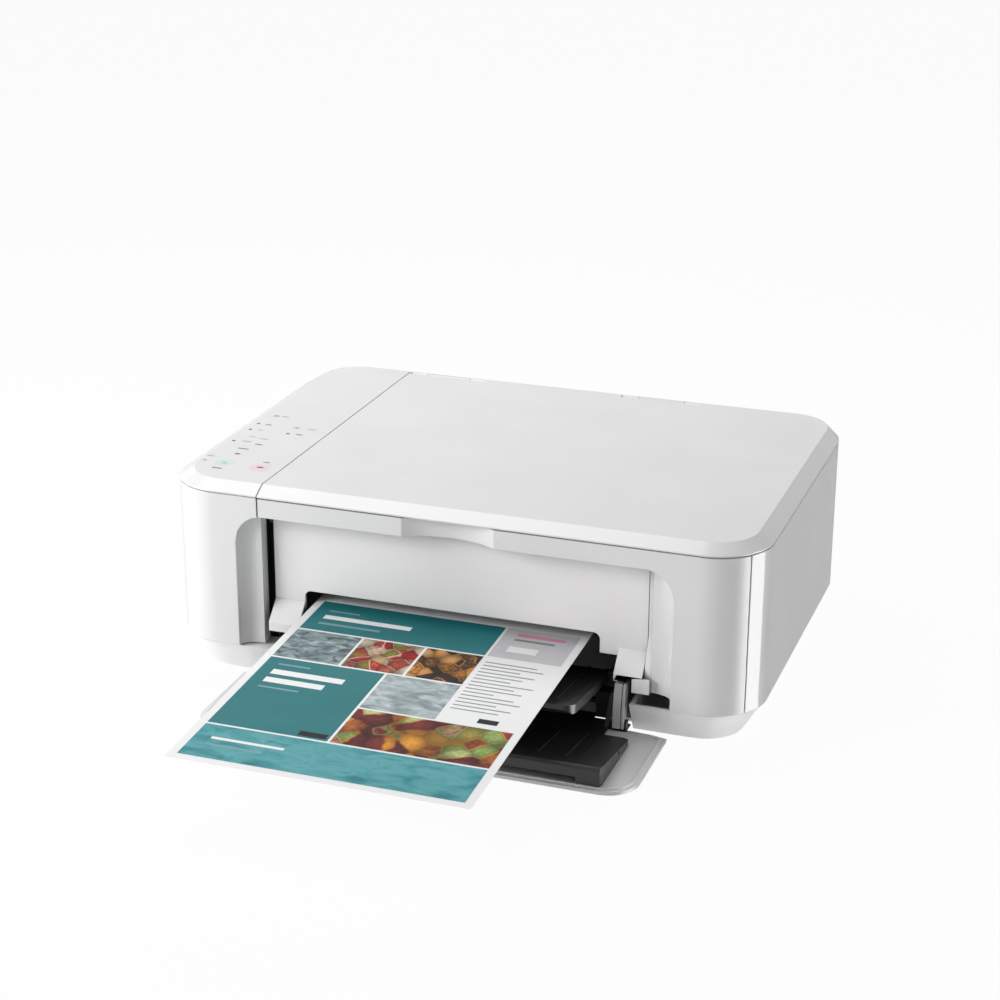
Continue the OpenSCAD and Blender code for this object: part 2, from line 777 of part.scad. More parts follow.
module output_tray() {
    front = tray_front;
    r = 8;
    color("#1e1e1e") home() on_slope() {
        difference() {
            translate([0, 0, -tray_t]) linear_extrude(tray_t) {
                translate([-tray_half, front + r]) square([2 * tray_half, tray_l - r]);
                translate([-tray_half + r, front]) square([2 * (tray_half - r), tray_l - r]);
                for (s = [-1, 1]) translate([s * (tray_half - r), front + r]) circle(r);
            }
            // shallow field on top, and a bay for the stop
            block([-tray_half + 6, front + 12, -1], [tray_half - 6, front + tray_l + 1, 1]);
            block([-stop_w / 2 - slide_fit, front - 1, -tray_t + 0.8],
                [stop_w / 2 + slide_fit, front + stop_l + 2, -2]);
            tray_bevel();
        }
        for (x = [-96 : 24 : 96])
            block([x - 0.9, front + 12, -1.2], [x + 0.9, front + tray_l, -0.2]);
    }
}

// Bevel under the tray's front edge, which passes the door's insert as both swing in
module tray_bevel() {
    front = tray_front;
    profile_x(-case_w, case_w, [[front - 1, -tray_t - 1], [front + 4.5, -tray_t - 1],
        [front - 1, -tray_t + 4]]);
}

module paper_stop() {
    front = tray_front;
    color("#262626") home() on_slope() difference() {
        block([-stop_w / 2, front + 0.5, -tray_t + 0.8 + slide_fit],
            [stop_w / 2, front + stop_l, -2 - slide_fit]);
        block([-14, front - 1, -tray_t], [14, front + 5, 0]);
        tray_bevel();
    }
}

// Ledges on both sides that the output tray slides on
module tray_rails() {
    color("#222222") home() intersection() {
        union() for (s = [-1, 1]) scale([s, 1, 1]) {
            on_slope() {
                block([tray_half - 7, 2, -tray_t - slide_fit - 2],
                    [plate_mid_x, rail_l + 4, -tray_t - slide_fit]);
                block([tray_half + slide_fit, 2, -tray_t - slide_fit], [plate_mid_x, rail_l + 4, 2]);
            }
            block([plate_mid_x - 3, cover_y + 14, floor_z], [plate_mid_x, cover_y + 30, 26]);
        }
        block([-case_w / 2, cover_y + 3, floor_z], [case_w / 2, cover_y + rail_l, 60]);
    }
    color("#222222") home() for (s = [-1, 1]) scale([s, 1, 1]) difference() {
        union() {
            block([door_boss_x0, pivot_y - 5, pivot_z - 6], [door_boss_x1, pivot_y + 12, pivot_z + 5]);
            block([door_boss_x0, pivot_y + 6, floor_z], [door_boss_x1, pivot_y + 12, pivot_z]);
            block([door_boss_x0, pivot_y - 4.5, floor_z + 1.6], [door_boss_x1, pivot_y + 12, pivot_z]);
            block([door_boss_x0, pivot_y + 9, floor_z], [plate_mid_x, cover_y + 15, pivot_z + 5]);
        }
        bar_x(door_boss_x0 - 1, door_boss_x1 + 1, pivot_y, pivot_z, door_pin_r + run_fit);
    }
}

// ---- paper guides under the output tray

guide_y = front_y + 54;
guide_post_r = 3;
guide_arm_t = 2;
guide_arm_z = floor_z + slide_fit;
guide_teeth = 16;
guide_gear_r = guide_teeth * tooth_module / 2;
rack_back = 4;

// Involute of the base circle rb, unrolled by a degrees
function involute(rb, a) = [rb * (cos(a) + a * PI / 180 * sin(a)), rb * (sin(a) - a * PI / 180 * cos(a))];
// Unroll angle at which the involute reaches radius r
function unroll(rb, r) = 180 / PI * sqrt(max(0, pow(r / rb, 2) - 1));
function turned(p, a) = [p[0] * cos(a) - p[1] * sin(a), p[0] * sin(a) + p[1] * cos(a)];

// Outline of a spur gear with one tooth centred on +X; play thins each tooth at the pitch circle
function gear_points(teeth, m, play) =
    let (
        rp = teeth * m / 2, rb = rp * cos(20), ra = rp + 0.95 * m, rf = rp - 1.25 * m,
        at_pitch = unroll(rb, rp), lead = at_pitch - atan(at_pitch * PI / 180),
        half = 90 / teeth - play / rp * 90 / PI, top = unroll(rb, ra), steps = 5,
        first = rf < rb ? 0 : unroll(rb, rf),
        flank = concat([[rf, 0]], [for (i = [0 : steps]) involute(rb, first + (top - first) * i / steps)]),
        right = [for (p = flank) turned(p, -half - lead)],
        left = [for (i = [len(flank) - 1 : -1 : 0]) turned([flank[i][0], -flank[i][1]], half + lead)]
    )
    [for (t = [0 : teeth - 1], p = concat(right, left)) turned(p, t * 360 / teeth)];

module gear(teeth, w, play = 0.16) {
    linear_extrude(w) polygon(gear_points(teeth, tooth_module, play));
}

// Toothed arm and upright wall of the guide on the right
module paper_guide() {
    pitch = PI * tooth_module;
    add = 0.9 * tooth_module;
    slack = 0.12;
    root = guide_y - guide_gear_r - 1.2 * tooth_module;
    line = guide_y - guide_gear_r;
    wall_x = paper_half + 1;
    translate([0, 0, guide_arm_z]) linear_extrude(guide_arm_t) {
        translate([-5.5 * pitch, root - rack_back]) square([wall_x + 2.4 + 5.5 * pitch, rack_back]);
        for (i = [-5 : ceil(guide_travel / pitch) + 2])
            translate([(i + 0.5) * pitch, 0]) polygon([
                [-pitch / 4 + slack - (line - root) * tan(20), root - tiny],
                [pitch / 4 - slack + (line - root) * tan(20), root - tiny],
                [pitch / 4 - slack - add * tan(20), line + add],
                [-pitch / 4 + slack + add * tan(20), line + add]]);
    }
    block([wall_x, guide_y - 20, guide_arm_z], [wall_x + 2.4, guide_y + 20,
        guide_arm_z + guide_arm_t + guide_h]);
}

module paper_guide_right() {
    color("#2a2a2a") home() paper_guide();
}

module paper_guide_left() {
    color("#2a2a2a") home() translate([0, guide_y, 0]) rotate(180) translate([0, -guide_y, 0]) paper_guide();
}

module guide_pinion() {
    color("#dddddd") home() translate([0, guide_y, guide_arm_z]) difference() {
        rotate(90) gear(guide_teeth, guide_arm_t);
        translate([0, 0, -1]) cylinder(r = guide_post_r + run_fit, h = 9);
    }
}

// ---- printed sheet, straight from the rollers to its outer end

module printed_sheet() {
    run = sheet_l * cos(sheet_slope);
    fall = tan(sheet_slope);
    z0 = path_z - (output_roller_y - sheet_reach) * fall;
    color("white") home() profile_x(sheet_x - sheet_w / 2, sheet_x + sheet_w / 2, [
        [sheet_reach, z0], [sheet_reach + run, z0 + run * fall],
            [sheet_reach + run, z0 + run * fall + sheet_t],
        [sheet_reach, z0 + sheet_t]]);
}

// ---- scanner

tub_x0 = seam_x + seam_gap / 2 + 0.3;
glass_x = (tub_x0 + case_w / 2) / 2 - 4;
rail_z = tub_z + 2 + 3.6;
scan_rod_r = 2.5;
bar_x0 = glass_x - (bar_travel + bar_w) / 2;

tub_front = cover_y + cheek_d + 2;
tub_back = back_y - 8;
tub_t = 2;

// Plan of the tub from y0 back, drawn in by i
module tub_plan(i, y0) {
    intersection() {
        case_plan(shell_t + slide_fit + i);
        translate([tub_x0 + i, y0 + i]) square([case_w, tub_back - y0 - 2 * i]);
    }
}

module scanner_tub() {
    color("#d8d8d8") home() translate([0, 0, tub_z]) difference() {
        union() {
            linear_extrude(tub_h) tub_plan(0, tub_front);
            // deck that reaches over the recess to the front shell
            translate([0, 0, tub_h - skin_t]) linear_extrude(skin_t) difference() {
                tub_plan(0, front_y + shell_t + slide_fit);
                scoop_plan(shell_t + slide_fit);
            }
        }
        translate([0, 0, tub_t]) linear_extrude(tub_h - tub_t - skin_t - glass_t + 1.2) tub_plan(tub_t,
            tub_front);
        translate([glass_x, 0, tub_h - glass_t]) linear_extrude(glass_t + 1)
            square([glass_l + 0.4, glass_w + 0.4], center = true);
        translate([glass_x, 0, tub_h / 2]) linear_extrude(tub_h)
            square([glass_l - 8, glass_w - 8], center = true);
    }
}

module platen_glass() {
    color("lightblue", 0.5) home() translate([glass_x, 0, shell_z1 - glass_t / 2])
        cube([glass_l, glass_w, glass_t], center = true);
}

module scan_rod() {
    color("silver") home() bar_x(tub_x0 + 2, case_w / 2 - shell_t - 2.5 - slide_fit, 0, rail_z, scan_rod_r);
}

module scan_bar() {
    top = shell_z1 - glass_t - 0.8;
    color("#222222") home() translate([bar_x0, 0, 0]) difference() {
        union() {
            block([0, -glass_w / 2 + 5, rail_z + 4], [bar_w, glass_w / 2 - 5, top]);
            block([-1, -12, tub_z + 2.5], [bar_w + 1, 12, rail_z + 4]);
        }
        block([4, -glass_w / 2 + 8, top - 1.2], [bar_w - 4, glass_w / 2 - 8, top + 1]);
        bar_x(-2, bar_w + 2, 0, rail_z, scan_rod_r + run_fit);
    }
}

// ---- top: control panel and document lid

module top_form() {
    hull() {
        translate([0, 0, lid_z]) linear_extrude(rim_h) case_plan(0, $fn = 96);
        translate([0, bevel_w / 2, case_h - tiny]) linear_extrude(tiny)
            rounded(case_w - 2 * bevel_w, case_d - bevel_w, corner_r - bevel_w, $fn = 96);
    }
}

button_r = 6;
// Place of each button on the panel: from the case's left face, from the middle of its depth
power_at = [18, 8];
wireless_at = [44, -8];
paper_at = [38, -58];
black_at = [29.5, -84];
colour_at = [29.5, -108];
stop_at = [59, -106];
button_places = [power_at, wireless_at, paper_at, black_at, colour_at, stop_at];
lens_places = [[16, -14.5], [16, -29.3], [16, -58.3], [47.8, -29]];
lens_r = 1.5;

module on_panel(p) {
    translate([-case_w / 2 + p[0], p[1], 0]) children();
}

module control_panel() {
    color("#e2e2e2") home() difference() {
        top_form();
        block([seam_x - seam_gap / 2, -case_d, 0], [case_w, case_d, 2 * case_h]);
        translate([0, 0, lid_z - 1]) linear_extrude(lid_t - skin_t + 1) intersection() {
            case_plan(bevel_w + 1);
            translate([-case_w, -case_d]) square([case_w + seam_x - 3, 2 * case_d]);
        }
        for (p = button_places) on_panel(p) cylinder(r = button_r + button_gap, h = 2 * case_h);
        for (p = lens_places) on_panel(p) cylinder(r = lens_r, h = 2 * case_h);
    }
}

board_t = 1.6;
board_z = lid_z - 5.5;

module panel_board() {
    color("#2e6b3c") home() {
        difference() {
            block([-case_w / 2 + 9, -116, board_z - board_t], [seam_x - 4, 30, board_z]);
            for (y = [-90, 10]) translate([seam_x - 9, y, 0]) cylinder(r = 1.7, h = case_h);
        }
        for (p = button_places) on_panel(p) translate([-3, -3, board_z]) cube([6, 6, 3.5]);
        for (p = lens_places) on_panel(p) translate([-1.5, -1.5, board_z]) cube([3, 3, 1.6]);
        // ribs up to the panel's edge
        for (y = [-110, 24]) block([-case_w / 2 + 14, y, board_z],
            [-case_w / 2 + 17, y + 3, lid_z + lid_t - skin_t]);
    }
}

module button_cap(p, tint) {
    color(tint) home() on_panel(p) {
        translate([0, 0, case_h - skin_t - 0.8]) cylinder(r = button_r, h = skin_t + 0.8);
        translate([0, 0, board_z + 3.5 + 1]) cylinder(r = 2, h = case_h - skin_t - board_z - 4.5);
    }
}

module power_button() { button_cap(power_at, "#ececec"); }
module wireless_button() { button_cap(wireless_at, "#ececec"); }
module paper_button() { button_cap(paper_at, "#ececec"); }
module black_copy_button() { button_cap(black_at, "#ececec"); }
module colour_copy_button() { button_cap(colour_at, "#ececec"); }
module stop_button() { button_cap(stop_at, "#ececec"); }

module indicator_lenses() {
    color("#444444") home() for (p = lens_places) on_panel(p)
        translate([0, 0, board_z + 1.6]) cylinder(r = lens_r, h = case_h - board_z - 1.6);
}

// Middle share of each hinge that stays on the case; the ends belong to the lid
knuckle_in = hinge_w / 2 - 14;

module document_lid() {
    color("#e6e6e6") home() difference() {
        union() {
            difference() {
                top_form();
                block([-case_w, -case_d, 0], [seam_x + seam_gap / 2, case_d, 2 * case_h]);
                block([tub_x0 + 8, front_y + 18, lid_z - 1],
                    [case_w / 2 - 16, back_y - 16, case_h - skin_t]);
                for (x = [hinge_left_x, hinge_right_x])
                    block([x - hinge_w / 2 - slide_fit, hinge_y - hinge_r - 1, lid_z - 1],
                        [x + hinge_w / 2 + slide_fit, back_y + 1, case_h + 1]);
            }
            for (x = [hinge_left_x, hinge_right_x], s = [-1, 1])
                translate([x, 0, 0]) scale([s, 1, 1]) {
                    bar_x(knuckle_in + slide_fit, hinge_w / 2, hinge_y, hinge_z, hinge_r);
                    block([knuckle_in + slide_fit, hinge_y - hinge_r - 2, lid_z + 1.2],
                        [hinge_w / 2, hinge_y, hinge_z + 2]);
                }
        }
        for (x = [hinge_left_x, hinge_right_x])
            bar_x(x - hinge_w / 2 - 1, x + hinge_w / 2 + 1, hinge_y, hinge_z, hinge_pin_r + run_fit);
    }
}

module lid_pad() {
    color("white") home()
        block([tub_x0 + 10, front_y + 20, lid_z - lid_gap + slide_fit],
            [case_w / 2 - 18, back_y - 18, case_h - skin_t]);
}

// Fixed knuckle, its bracket and the pin that the lid turns on
module lid_hinges() {
    color("#cccccc") home() for (x = [hinge_left_x, hinge_right_x]) translate([x, 0, 0]) {
        bar_x(-knuckle_in, knuckle_in, hinge_y, hinge_z, hinge_r);
        block([-knuckle_in, hinge_y - hinge_r, shell_z1 - 14],
            [knuckle_in, back_y - shell_t - slide_fit, hinge_z]);
        block([-knuckle_in - 8, back_y - 8 + slide_fit / 2, shell_z1 - 14],
            [knuckle_in + 8, back_y - shell_t - slide_fit, hinge_z - hinge_r - 1]);
        bar_x(-hinge_w / 2 + 0.5, hinge_w / 2 - 0.5, hinge_y, hinge_z, hinge_pin_r);
    }
}

// ---- print mechanism

// Upright plates: left and right carry the rod and beam, the middle one the roller ends
plate_z1 = tub_z;

module bearing_holes() {
    for (p = [[output_roller_y, output_roller_z], [feed_roller_y, feed_roller_z], [pickup_y, pickup_z]])
        bar_x(-case_w, case_w, p[0], p[1], shaft_r + run_fit);
    bar_x(-case_w, case_w, output_roller_y, star_z, 1.5 + run_fit);
    bar_x(plate_left_x - 1, plate_left_x + plate_t + 1, motor_at[0], motor_at[1], motor_shaft_r + run_fit);
}

pickup_y = feed_roller_y + 30;
pickup_z = floor_z + 24;

module frame_plates() {
    y0 = output_roller_y - 12;
    y1 = beam_y + 30;
    color("#9a9a9a") home() difference() {
        union() {
            block([plate_left_x, y0, floor_z], [plate_left_x + plate_t, y1, plate_z1]);
            block([plate_right_x, feed_roller_y - 10, floor_z], [plate_right_x + plate_t, y1, plate_z1]);
            block([plate_mid_x, y0, floor_z], [plate_mid_x + plate_t, rod_y - carriage_d - 3, path_z + 14]);
            block([plate_mid_x, y0, floor_z], [plate_mid_x + plate_t, pickup_y + 10, carriage_z - 2]);
            for (x = [plate_left_x, plate_mid_x]) block([x, y0 + 20, floor_z],
                [x + 10, y0 + 32, floor_z + plate_t]);
            block([plate_right_x - 8, y1 - 20, floor_z], [plate_right_x + 1, y1 - 8, floor_z + plate_t]);
        }
        bearing_holes();
        bar_x(-case_w, case_w, rod_y, rod_z, rod_r + run_fit);
    }
}

module rail_beam() {
    color("#a8a8a8") home() difference() {
        union() {
            block([plate_left_x + plate_t, beam_y, belt_z - 16],
                [plate_right_x, beam_y + plate_t, belt_z + 14]);
            block([plate_left_x + plate_t, beam_y, belt_z + 14],
                [plate_right_x, beam_y + 14, belt_z + 14 + plate_t]);
            block([plate_left_x + plate_t, beam_y, belt_z - 16 - plate_t],
                [plate_right_x, beam_y + 14, belt_z - 16]);
        }
        bar_y(beam_y - 1, beam_y + 9, belt_left, belt_z, 4);
    }
    color("#888888") home() bar_y(belt_y - 2, beam_y, belt_right, belt_z, 2);
}

module carriage_rod() {
    color("silver") home() bar_x(plate_left_x, plate_right_x + plate_t, rod_y, rod_z, rod_r);
}

cartridge_w = 33;
cartridge_d = 52;
cartridge_x = carriage_w / 4 - 0.5;

module ink_carriage() {
    color("#2b2b2b") home() translate([carriage_x, 0, 0]) difference() {
        union() {
            block([-carriage_w / 2, rod_y - carriage_d, carriage_z],
                [carriage_w / 2, rod_y - 6, carriage_z + carriage_h]);
            bar_x(-carriage_w / 2, carriage_w / 2, rod_y, rod_z, rod_r + 3.5);
            block([-carriage_w / 2, rod_y - 8, rod_z - 6], [carriage_w / 2, rod_y, rod_z + 7]);
            // arm back to the belt's lower run
            block([-10, rod_y, belt_z - pulley_r - 5], [10, belt_y + belt_w + 1.5, belt_z - pulley_r + 2.5]);
            block([-10, rod_y, carriage_z], [10, rod_y + 5, belt_z - pulley_r - 4]);
        }
        for (s = [-1, 1])
            block([s * cartridge_x - cartridge_w / 2 - slide_fit, rod_y - carriage_d - 1, carriage_z + 2],
                [s * cartridge_x + cartridge_w / 2 + slide_fit, rod_y - carriage_d + cartridge_d + 6,
                    carriage_z + carriage_h + 1]);
        for (s = [-1, 1])
            block([s * cartridge_x - cartridge_w / 2 + 6, rod_y - carriage_d + 20, carriage_z - 1],
                [s * cartridge_x + cartridge_w / 2 - 6, rod_y - carriage_d + cartridge_d, carriage_z + 3]);
        bar_x(-carriage_w, carriage_w, rod_y, rod_z, rod_r + run_fit);
        block([-11, belt_y - slide_fit, belt_z - pulley_r - 1.2 - slide_fit],
            [11, belt_y + belt_w + slide_fit, belt_z - pulley_r + slide_fit]);
    }
}

module cartridge(x) {
    home() translate([carriage_x + x, rod_y - carriage_d + 4, carriage_z + 2 + slide_fit / 2]) {
        cube([cartridge_w, cartridge_d, carriage_h - 8]);
        translate([3, -3, carriage_h - 14]) cube([cartridge_w - 6, 3, 5]);
        translate([8, 18, -3]) cube([cartridge_w - 16, cartridge_d - 24, 3]);
    }
}

module black_cartridge() {
    color("#202020") cartridge(cartridge_x - cartridge_w / 2);
}

module colour_cartridge() {
    color("#3a4a5a") cartridge(-cartridge_x - cartridge_w / 2);
}

module belt_loop(r) {
    for (x = [belt_left, belt_right]) translate([x, belt_z]) circle(r);
    translate([belt_left, belt_z - r]) square([belt_right - belt_left, 2 * r]);
}

module drive_belt() {
    color("#181818") home() translate([0, belt_y + belt_w, 0]) rotate([90, 0, 0]) linear_extrude(belt_w)
        difference() {
            belt_loop(pulley_r + 1.2);
            belt_loop(pulley_r + 0.1);
        }
}

module pulley(x, bore) {
    difference() {
        union() {
            bar_y(belt_y - 1, belt_y + belt_w, x, belt_z, pulley_r - slide_fit);
            bar_y(belt_y - 1.3, belt_y - slide_fit, x, belt_z, pulley_r + 1.4);
        }
        if (bore > 0) bar_y(belt_y - 3, belt_y + belt_w + 3, x, belt_z, bore);
    }
}

module motor_pulley() {
    color("#c8c8c8") home() {
        pulley(belt_left, 0);
        bar_y(belt_y + belt_w, beam_y + plate_t + 4, belt_left, belt_z, 1.5);
    }
}

module idler_pulley() {
    color("#c8c8c8") home() pulley(belt_right, 2 + run_fit);
}

module carriage_motor() {
    color("#8c8c8c") home() difference() {
        union() {
            bar_y(beam_y + plate_t, beam_y + plate_t + 26, belt_left, belt_z, 12.5);
            bar_y(beam_y + plate_t + 26, beam_y + plate_t + 28, belt_left, belt_z, 4);
        }
        bar_y(beam_y, beam_y + plate_t + 5, belt_left, belt_z, 1.5 + run_fit);
    }
}

module encoder_strip() {
    color("#cfcfcf") home() block([plate_left_x + plate_t, rod_y + 9, carriage_z + carriage_h - 3],
        [plate_right_x, rod_y + 9.4, carriage_z + carriage_h + 3]);
}

// Mesh of the gear train, worked out in the plane of Y and Z seen along +X
feed_at = [feed_roller_y, feed_roller_z];
output_at = [output_roller_y, output_roller_z];
reach_fi = (feed_teeth + idler_teeth) * tooth_module / 2;
reach_io = (idler_teeth + output_teeth) * tooth_module / 2;
span = norm(output_at - feed_at);
to_output = atan2(output_at[1] - feed_at[1], output_at[0] - feed_at[0]);
lean = acos((reach_fi * reach_fi + span * span - reach_io * reach_io) / (2 * reach_fi * span));
to_idler = to_output + lean;
idler_at = feed_at + reach_fi * [cos(to_idler), sin(to_idler)];
from_idler = atan2(output_at[1] - idler_at[1], output_at[0] - idler_at[0]);
to_motor = 60;
reach_fm = (feed_teeth + motor_teeth) * tooth_module / 2;
motor_at = feed_at + reach_fm * [cos(to_motor), sin(to_motor)];
// Turn that puts a gap of the second gear on a tooth of the first, along the line between them
function meshed(line, turn_a, teeth_a, teeth_b) =
    line + 180 - 360 / teeth_b * (0.5 - (line - turn_a) * teeth_a / 360);
idler_turn = meshed(to_idler, 0, feed_teeth, idler_teeth);
output_turn = meshed(from_idler, idler_turn, idler_teeth, output_teeth);
motor_turn = meshed(to_motor, 0, feed_teeth, motor_teeth);

// Gear lying across X at a place in Y and Z
module gear_x(at, teeth, turn) {
    translate([roller_left, at[0], at[1]]) rotate([90, 0, 90]) rotate(turn) gear(teeth, gear_w);
}

module feed_roller() {
    color("#555555") home() {
        bar_x(roller_left, roller_right + 2, feed_roller_y, feed_roller_z, shaft_r);
        bar_x(-paper_half - 8, paper_half + 3, feed_roller_y, feed_roller_z, feed_roller_r);
        gear_x(feed_at, feed_teeth, 0);
    }
}

module output_roller() {
    color("#555555") home() {
        bar_x(roller_left, roller_right + 2, output_roller_y, output_roller_z, shaft_r);
        for (x = [-92 : 40 : 68])
            bar_x(x - 8, x + 8, output_roller_y, output_roller_z, output_roller_r);
        gear_x(output_at, output_teeth, output_turn);
    }
}

module idler_gear() {
    color("#e0e0e0") home() difference() {
        gear_x(idler_at, idler_teeth, idler_turn);
        bar_x(roller_left - 1, roller_left + gear_w + 1, idler_at[0], idler_at[1], 3 + run_fit);
    }
}

motor_shaft_r = 1.5;
motor_l = 18;

module feed_motor() {
    inner_x = plate_left_x + plate_t;
    color("#8c8c8c") home() {
        difference() {
            bar_x(inner_x, inner_x + motor_l, motor_at[0], motor_at[1], 11);
            bar_x(inner_x - 1, inner_x + 8, motor_at[0], motor_at[1], motor_shaft_r + run_fit);
        }
        bar_x(roller_left, plate_left_x, idler_at[0], idler_at[1], 3);
    }
}

module motor_pinion() {
    color("#e0e0e0") home() {
        gear_x(motor_at, motor_teeth, motor_turn);
        bar_x(roller_left, plate_left_x + plate_t + 7, motor_at[0], motor_at[1], motor_shaft_r);
    }
}

module star_wheels() {
    color("#404040") home() {
        bar_x(plate_left_x - 1, roller_right + 1, output_roller_y, star_z, 1.5);
        for (x = [-92 : 40 : 68], s = [-4, 3]) bar_x(x + s, x + s + 1, output_roller_y, star_z, star_r);
    }
}

module print_platen() {
    color("#262626") home() {
        block([plate_left_x + plate_t, output_roller_y + 10, path_z - 12],
            [plate_mid_x, feed_roller_y - 12, path_z - 3]);
        for (x = [-110 : 10 : 100])
            block([x, output_roller_y + 12, path_z - 3], [x + 1.2, feed_roller_y - 14, path_z - 0.8]);
    }
}

module pickup_roller() {
    color("#333333") home() {
        bar_x(plate_left_x - 1, roller_right + 1, pickup_y, pickup_z, shaft_r);
        bar_x(-14, 14, pickup_y, pickup_z, 11);
    }
}

module purge_unit() {
    color("#303030") home() {
        block([plate_mid_x + 12, output_roller_y + 24, floor_z],
            [plate_right_x - 22, rod_y - 14, carriage_z - 8]);
        for (s = [-1, 1])
            block([carriage_x + s * cartridge_x - 7.5, rod_y - carriage_d + 22, carriage_z - 8],
                [carriage_x + s * cartridge_x + 7.5, rod_y - carriage_d + 50, carriage_z - 1.6]);
    }
}

board_x0 = 40;
board_y = back_y - 32;

// Main board upright at the back right, and its connector blocks
module circuit_boards() {
    color("#2e6b3c") home() {
        block([board_x0, board_y, floor_z + 22], [plate_right_x - 6, board_y + board_t, tub_z - 6]);
        for (x = [board_x0 + 10 : 30 : plate_right_x - 60])
            block([x, board_y - 4, floor_z + 34], [x + 16, board_y, floor_z + 50]);
        for (x = [board_x0 + 6, plate_right_x - 26])
            block([x, board_y, floor_z], [x + 6, board_y + board_t, floor_z + 22]);
    }
}

supply_x = plate_left_x + 12;
supply_w = 82;
supply_h = 42;

module power_supply() {
    color("#1a1a1a") home()
        block([supply_x, beam_y + 34, floor_z], [supply_x + supply_w, back_y - 26, floor_z + supply_h]);
}

// Figure-eight mains inlet and square data socket in the back
module rear_sockets() {
    color("#1a1a1a") home() {
        difference() {
            block([inlet_x - 15, back_y - 24, inlet_z - 10], [inlet_x + 15, back_y - 0.4, inlet_z + 10]);
            for (s = [-1, 1]) bar_y(back_y - 16, back_y + 1, inlet_x + s * 4, inlet_z, 4.2);
        }
        for (s = [-1, 1]) bar_y(back_y - 17, back_y - 4, inlet_x + s * 4, inlet_z, 1.2);
    }
    color("silver") home() difference() {
        block([usb_x - 8, board_y + board_t, usb_z - 7], [usb_x + 8, back_y - 0.4, usb_z + 7]);
        difference() {
            block([usb_x - 6, back_y - 12, usb_z - 5.2], [usb_x + 6, back_y + 1, usb_z + 5.2]);
            block([usb_x - 2.8, back_y - 13, usb_z - 1.6], [usb_x + 2.8, back_y - 3, usb_z + 1.6]);
        }
    }
}

base_pan();
rubber_feet();
case_screws();
front_frame();
left_column();
side_cover_right();
side_cover_left();
rear_cover();
recess_panel();
inner_cheek();
output_cover();
front_door();
tray_insert();
link_lever();
output_tray();
tray_rails();
paper_stop();
paper_guide_left();
paper_guide_right();
guide_pinion();
printed_sheet();
scanner_tub();
platen_glass();
scan_bar();
scan_rod();
control_panel();
panel_board();
power_button();
wireless_button();
paper_button();
black_copy_button();
colour_copy_button();
stop_button();
indicator_lenses();
document_lid();
lid_pad();
lid_hinges();
frame_plates();
rail_beam();
carriage_rod();
ink_carriage();
black_cartridge();
colour_cartridge();
drive_belt();
carriage_motor();
motor_pulley();
idler_pulley();
encoder_strip();
feed_roller();
output_roller();
idler_gear();
feed_motor();
motor_pinion();
star_wheels();
print_platen();
pickup_roller();
purge_unit();
circuit_boards();
power_supply();
rear_sockets();
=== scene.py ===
# Compact inkjet all-in-one printer: paper door lying open, output tray out, a printed sheet in the slot.
import json
import math

import bmesh
import bpy
from mathutils import Euler, Matrix, Vector


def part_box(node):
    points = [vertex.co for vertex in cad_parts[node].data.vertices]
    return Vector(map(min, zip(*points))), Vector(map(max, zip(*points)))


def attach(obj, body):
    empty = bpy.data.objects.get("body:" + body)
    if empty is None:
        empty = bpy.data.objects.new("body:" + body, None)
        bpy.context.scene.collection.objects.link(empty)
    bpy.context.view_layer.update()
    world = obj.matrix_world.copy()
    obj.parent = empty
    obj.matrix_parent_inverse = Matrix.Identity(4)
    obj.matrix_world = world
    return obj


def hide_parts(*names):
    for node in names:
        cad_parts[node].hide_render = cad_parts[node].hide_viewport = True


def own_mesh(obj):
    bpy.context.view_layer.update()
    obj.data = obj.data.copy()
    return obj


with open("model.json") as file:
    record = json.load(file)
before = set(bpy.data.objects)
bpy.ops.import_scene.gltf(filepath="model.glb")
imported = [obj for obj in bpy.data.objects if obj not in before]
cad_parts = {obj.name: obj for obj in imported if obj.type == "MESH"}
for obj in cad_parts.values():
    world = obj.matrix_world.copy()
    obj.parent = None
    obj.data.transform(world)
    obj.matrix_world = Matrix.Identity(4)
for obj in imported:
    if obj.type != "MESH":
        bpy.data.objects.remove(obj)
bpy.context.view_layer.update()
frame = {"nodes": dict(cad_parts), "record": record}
nodes = frame["nodes"]
print("frame loaded:", len(nodes), "nodes")

mm = 0.001


# Small tools for materials and meshes

def toLinear(hexColour, alpha=1.0):
    # sRGB hex, as on a colour card, to the linear values that Blender mixes
    channels = [int(hexColour[i:i + 2], 16) / 255 for i in (1, 3, 5)]
    return tuple(c / 12.92 if c <= 0.04045 else ((c + 0.055) / 1.055) ** 2.4 for c in channels) + (alpha,)


def addNode(tree, kind, settings=None, **links):
    # links are socket names with underscores for spaces; a value, or another node's output socket
    item = tree.nodes.new("ShaderNode" + kind)
    for key, value in (settings or {}).items():
        setattr(item, key, value)
    for key, value in links.items():
        name = key.replace("_", " ")
        socket = item.inputs[int(name[1:])] if name[0] == "i" and name[1:].isdigit() else item.inputs[name]
        if isinstance(value, bpy.types.NodeSocket):
            tree.links.new(value, socket)
        else:
            socket.default_value = value
    return item


def startMaterial(name):
    material = bpy.data.materials.new(name)
    material.use_nodes = True
    tree = material.node_tree
    return material, tree, tree.nodes["Principled BSDF"]


def colourRamp(tree, factor, stops):
    # stops: (position, hex colour), from the first to the last
    ramp = addNode(tree, "ValToRGB", Fac=factor)
    elements = ramp.color_ramp.elements
    while len(elements) < len(stops):
        elements.new(0.5)
    for element, (place, colour) in zip(elements, stops):
        element.position = place
        element.color = toLinear(colour)
    return ramp.outputs["Color"]


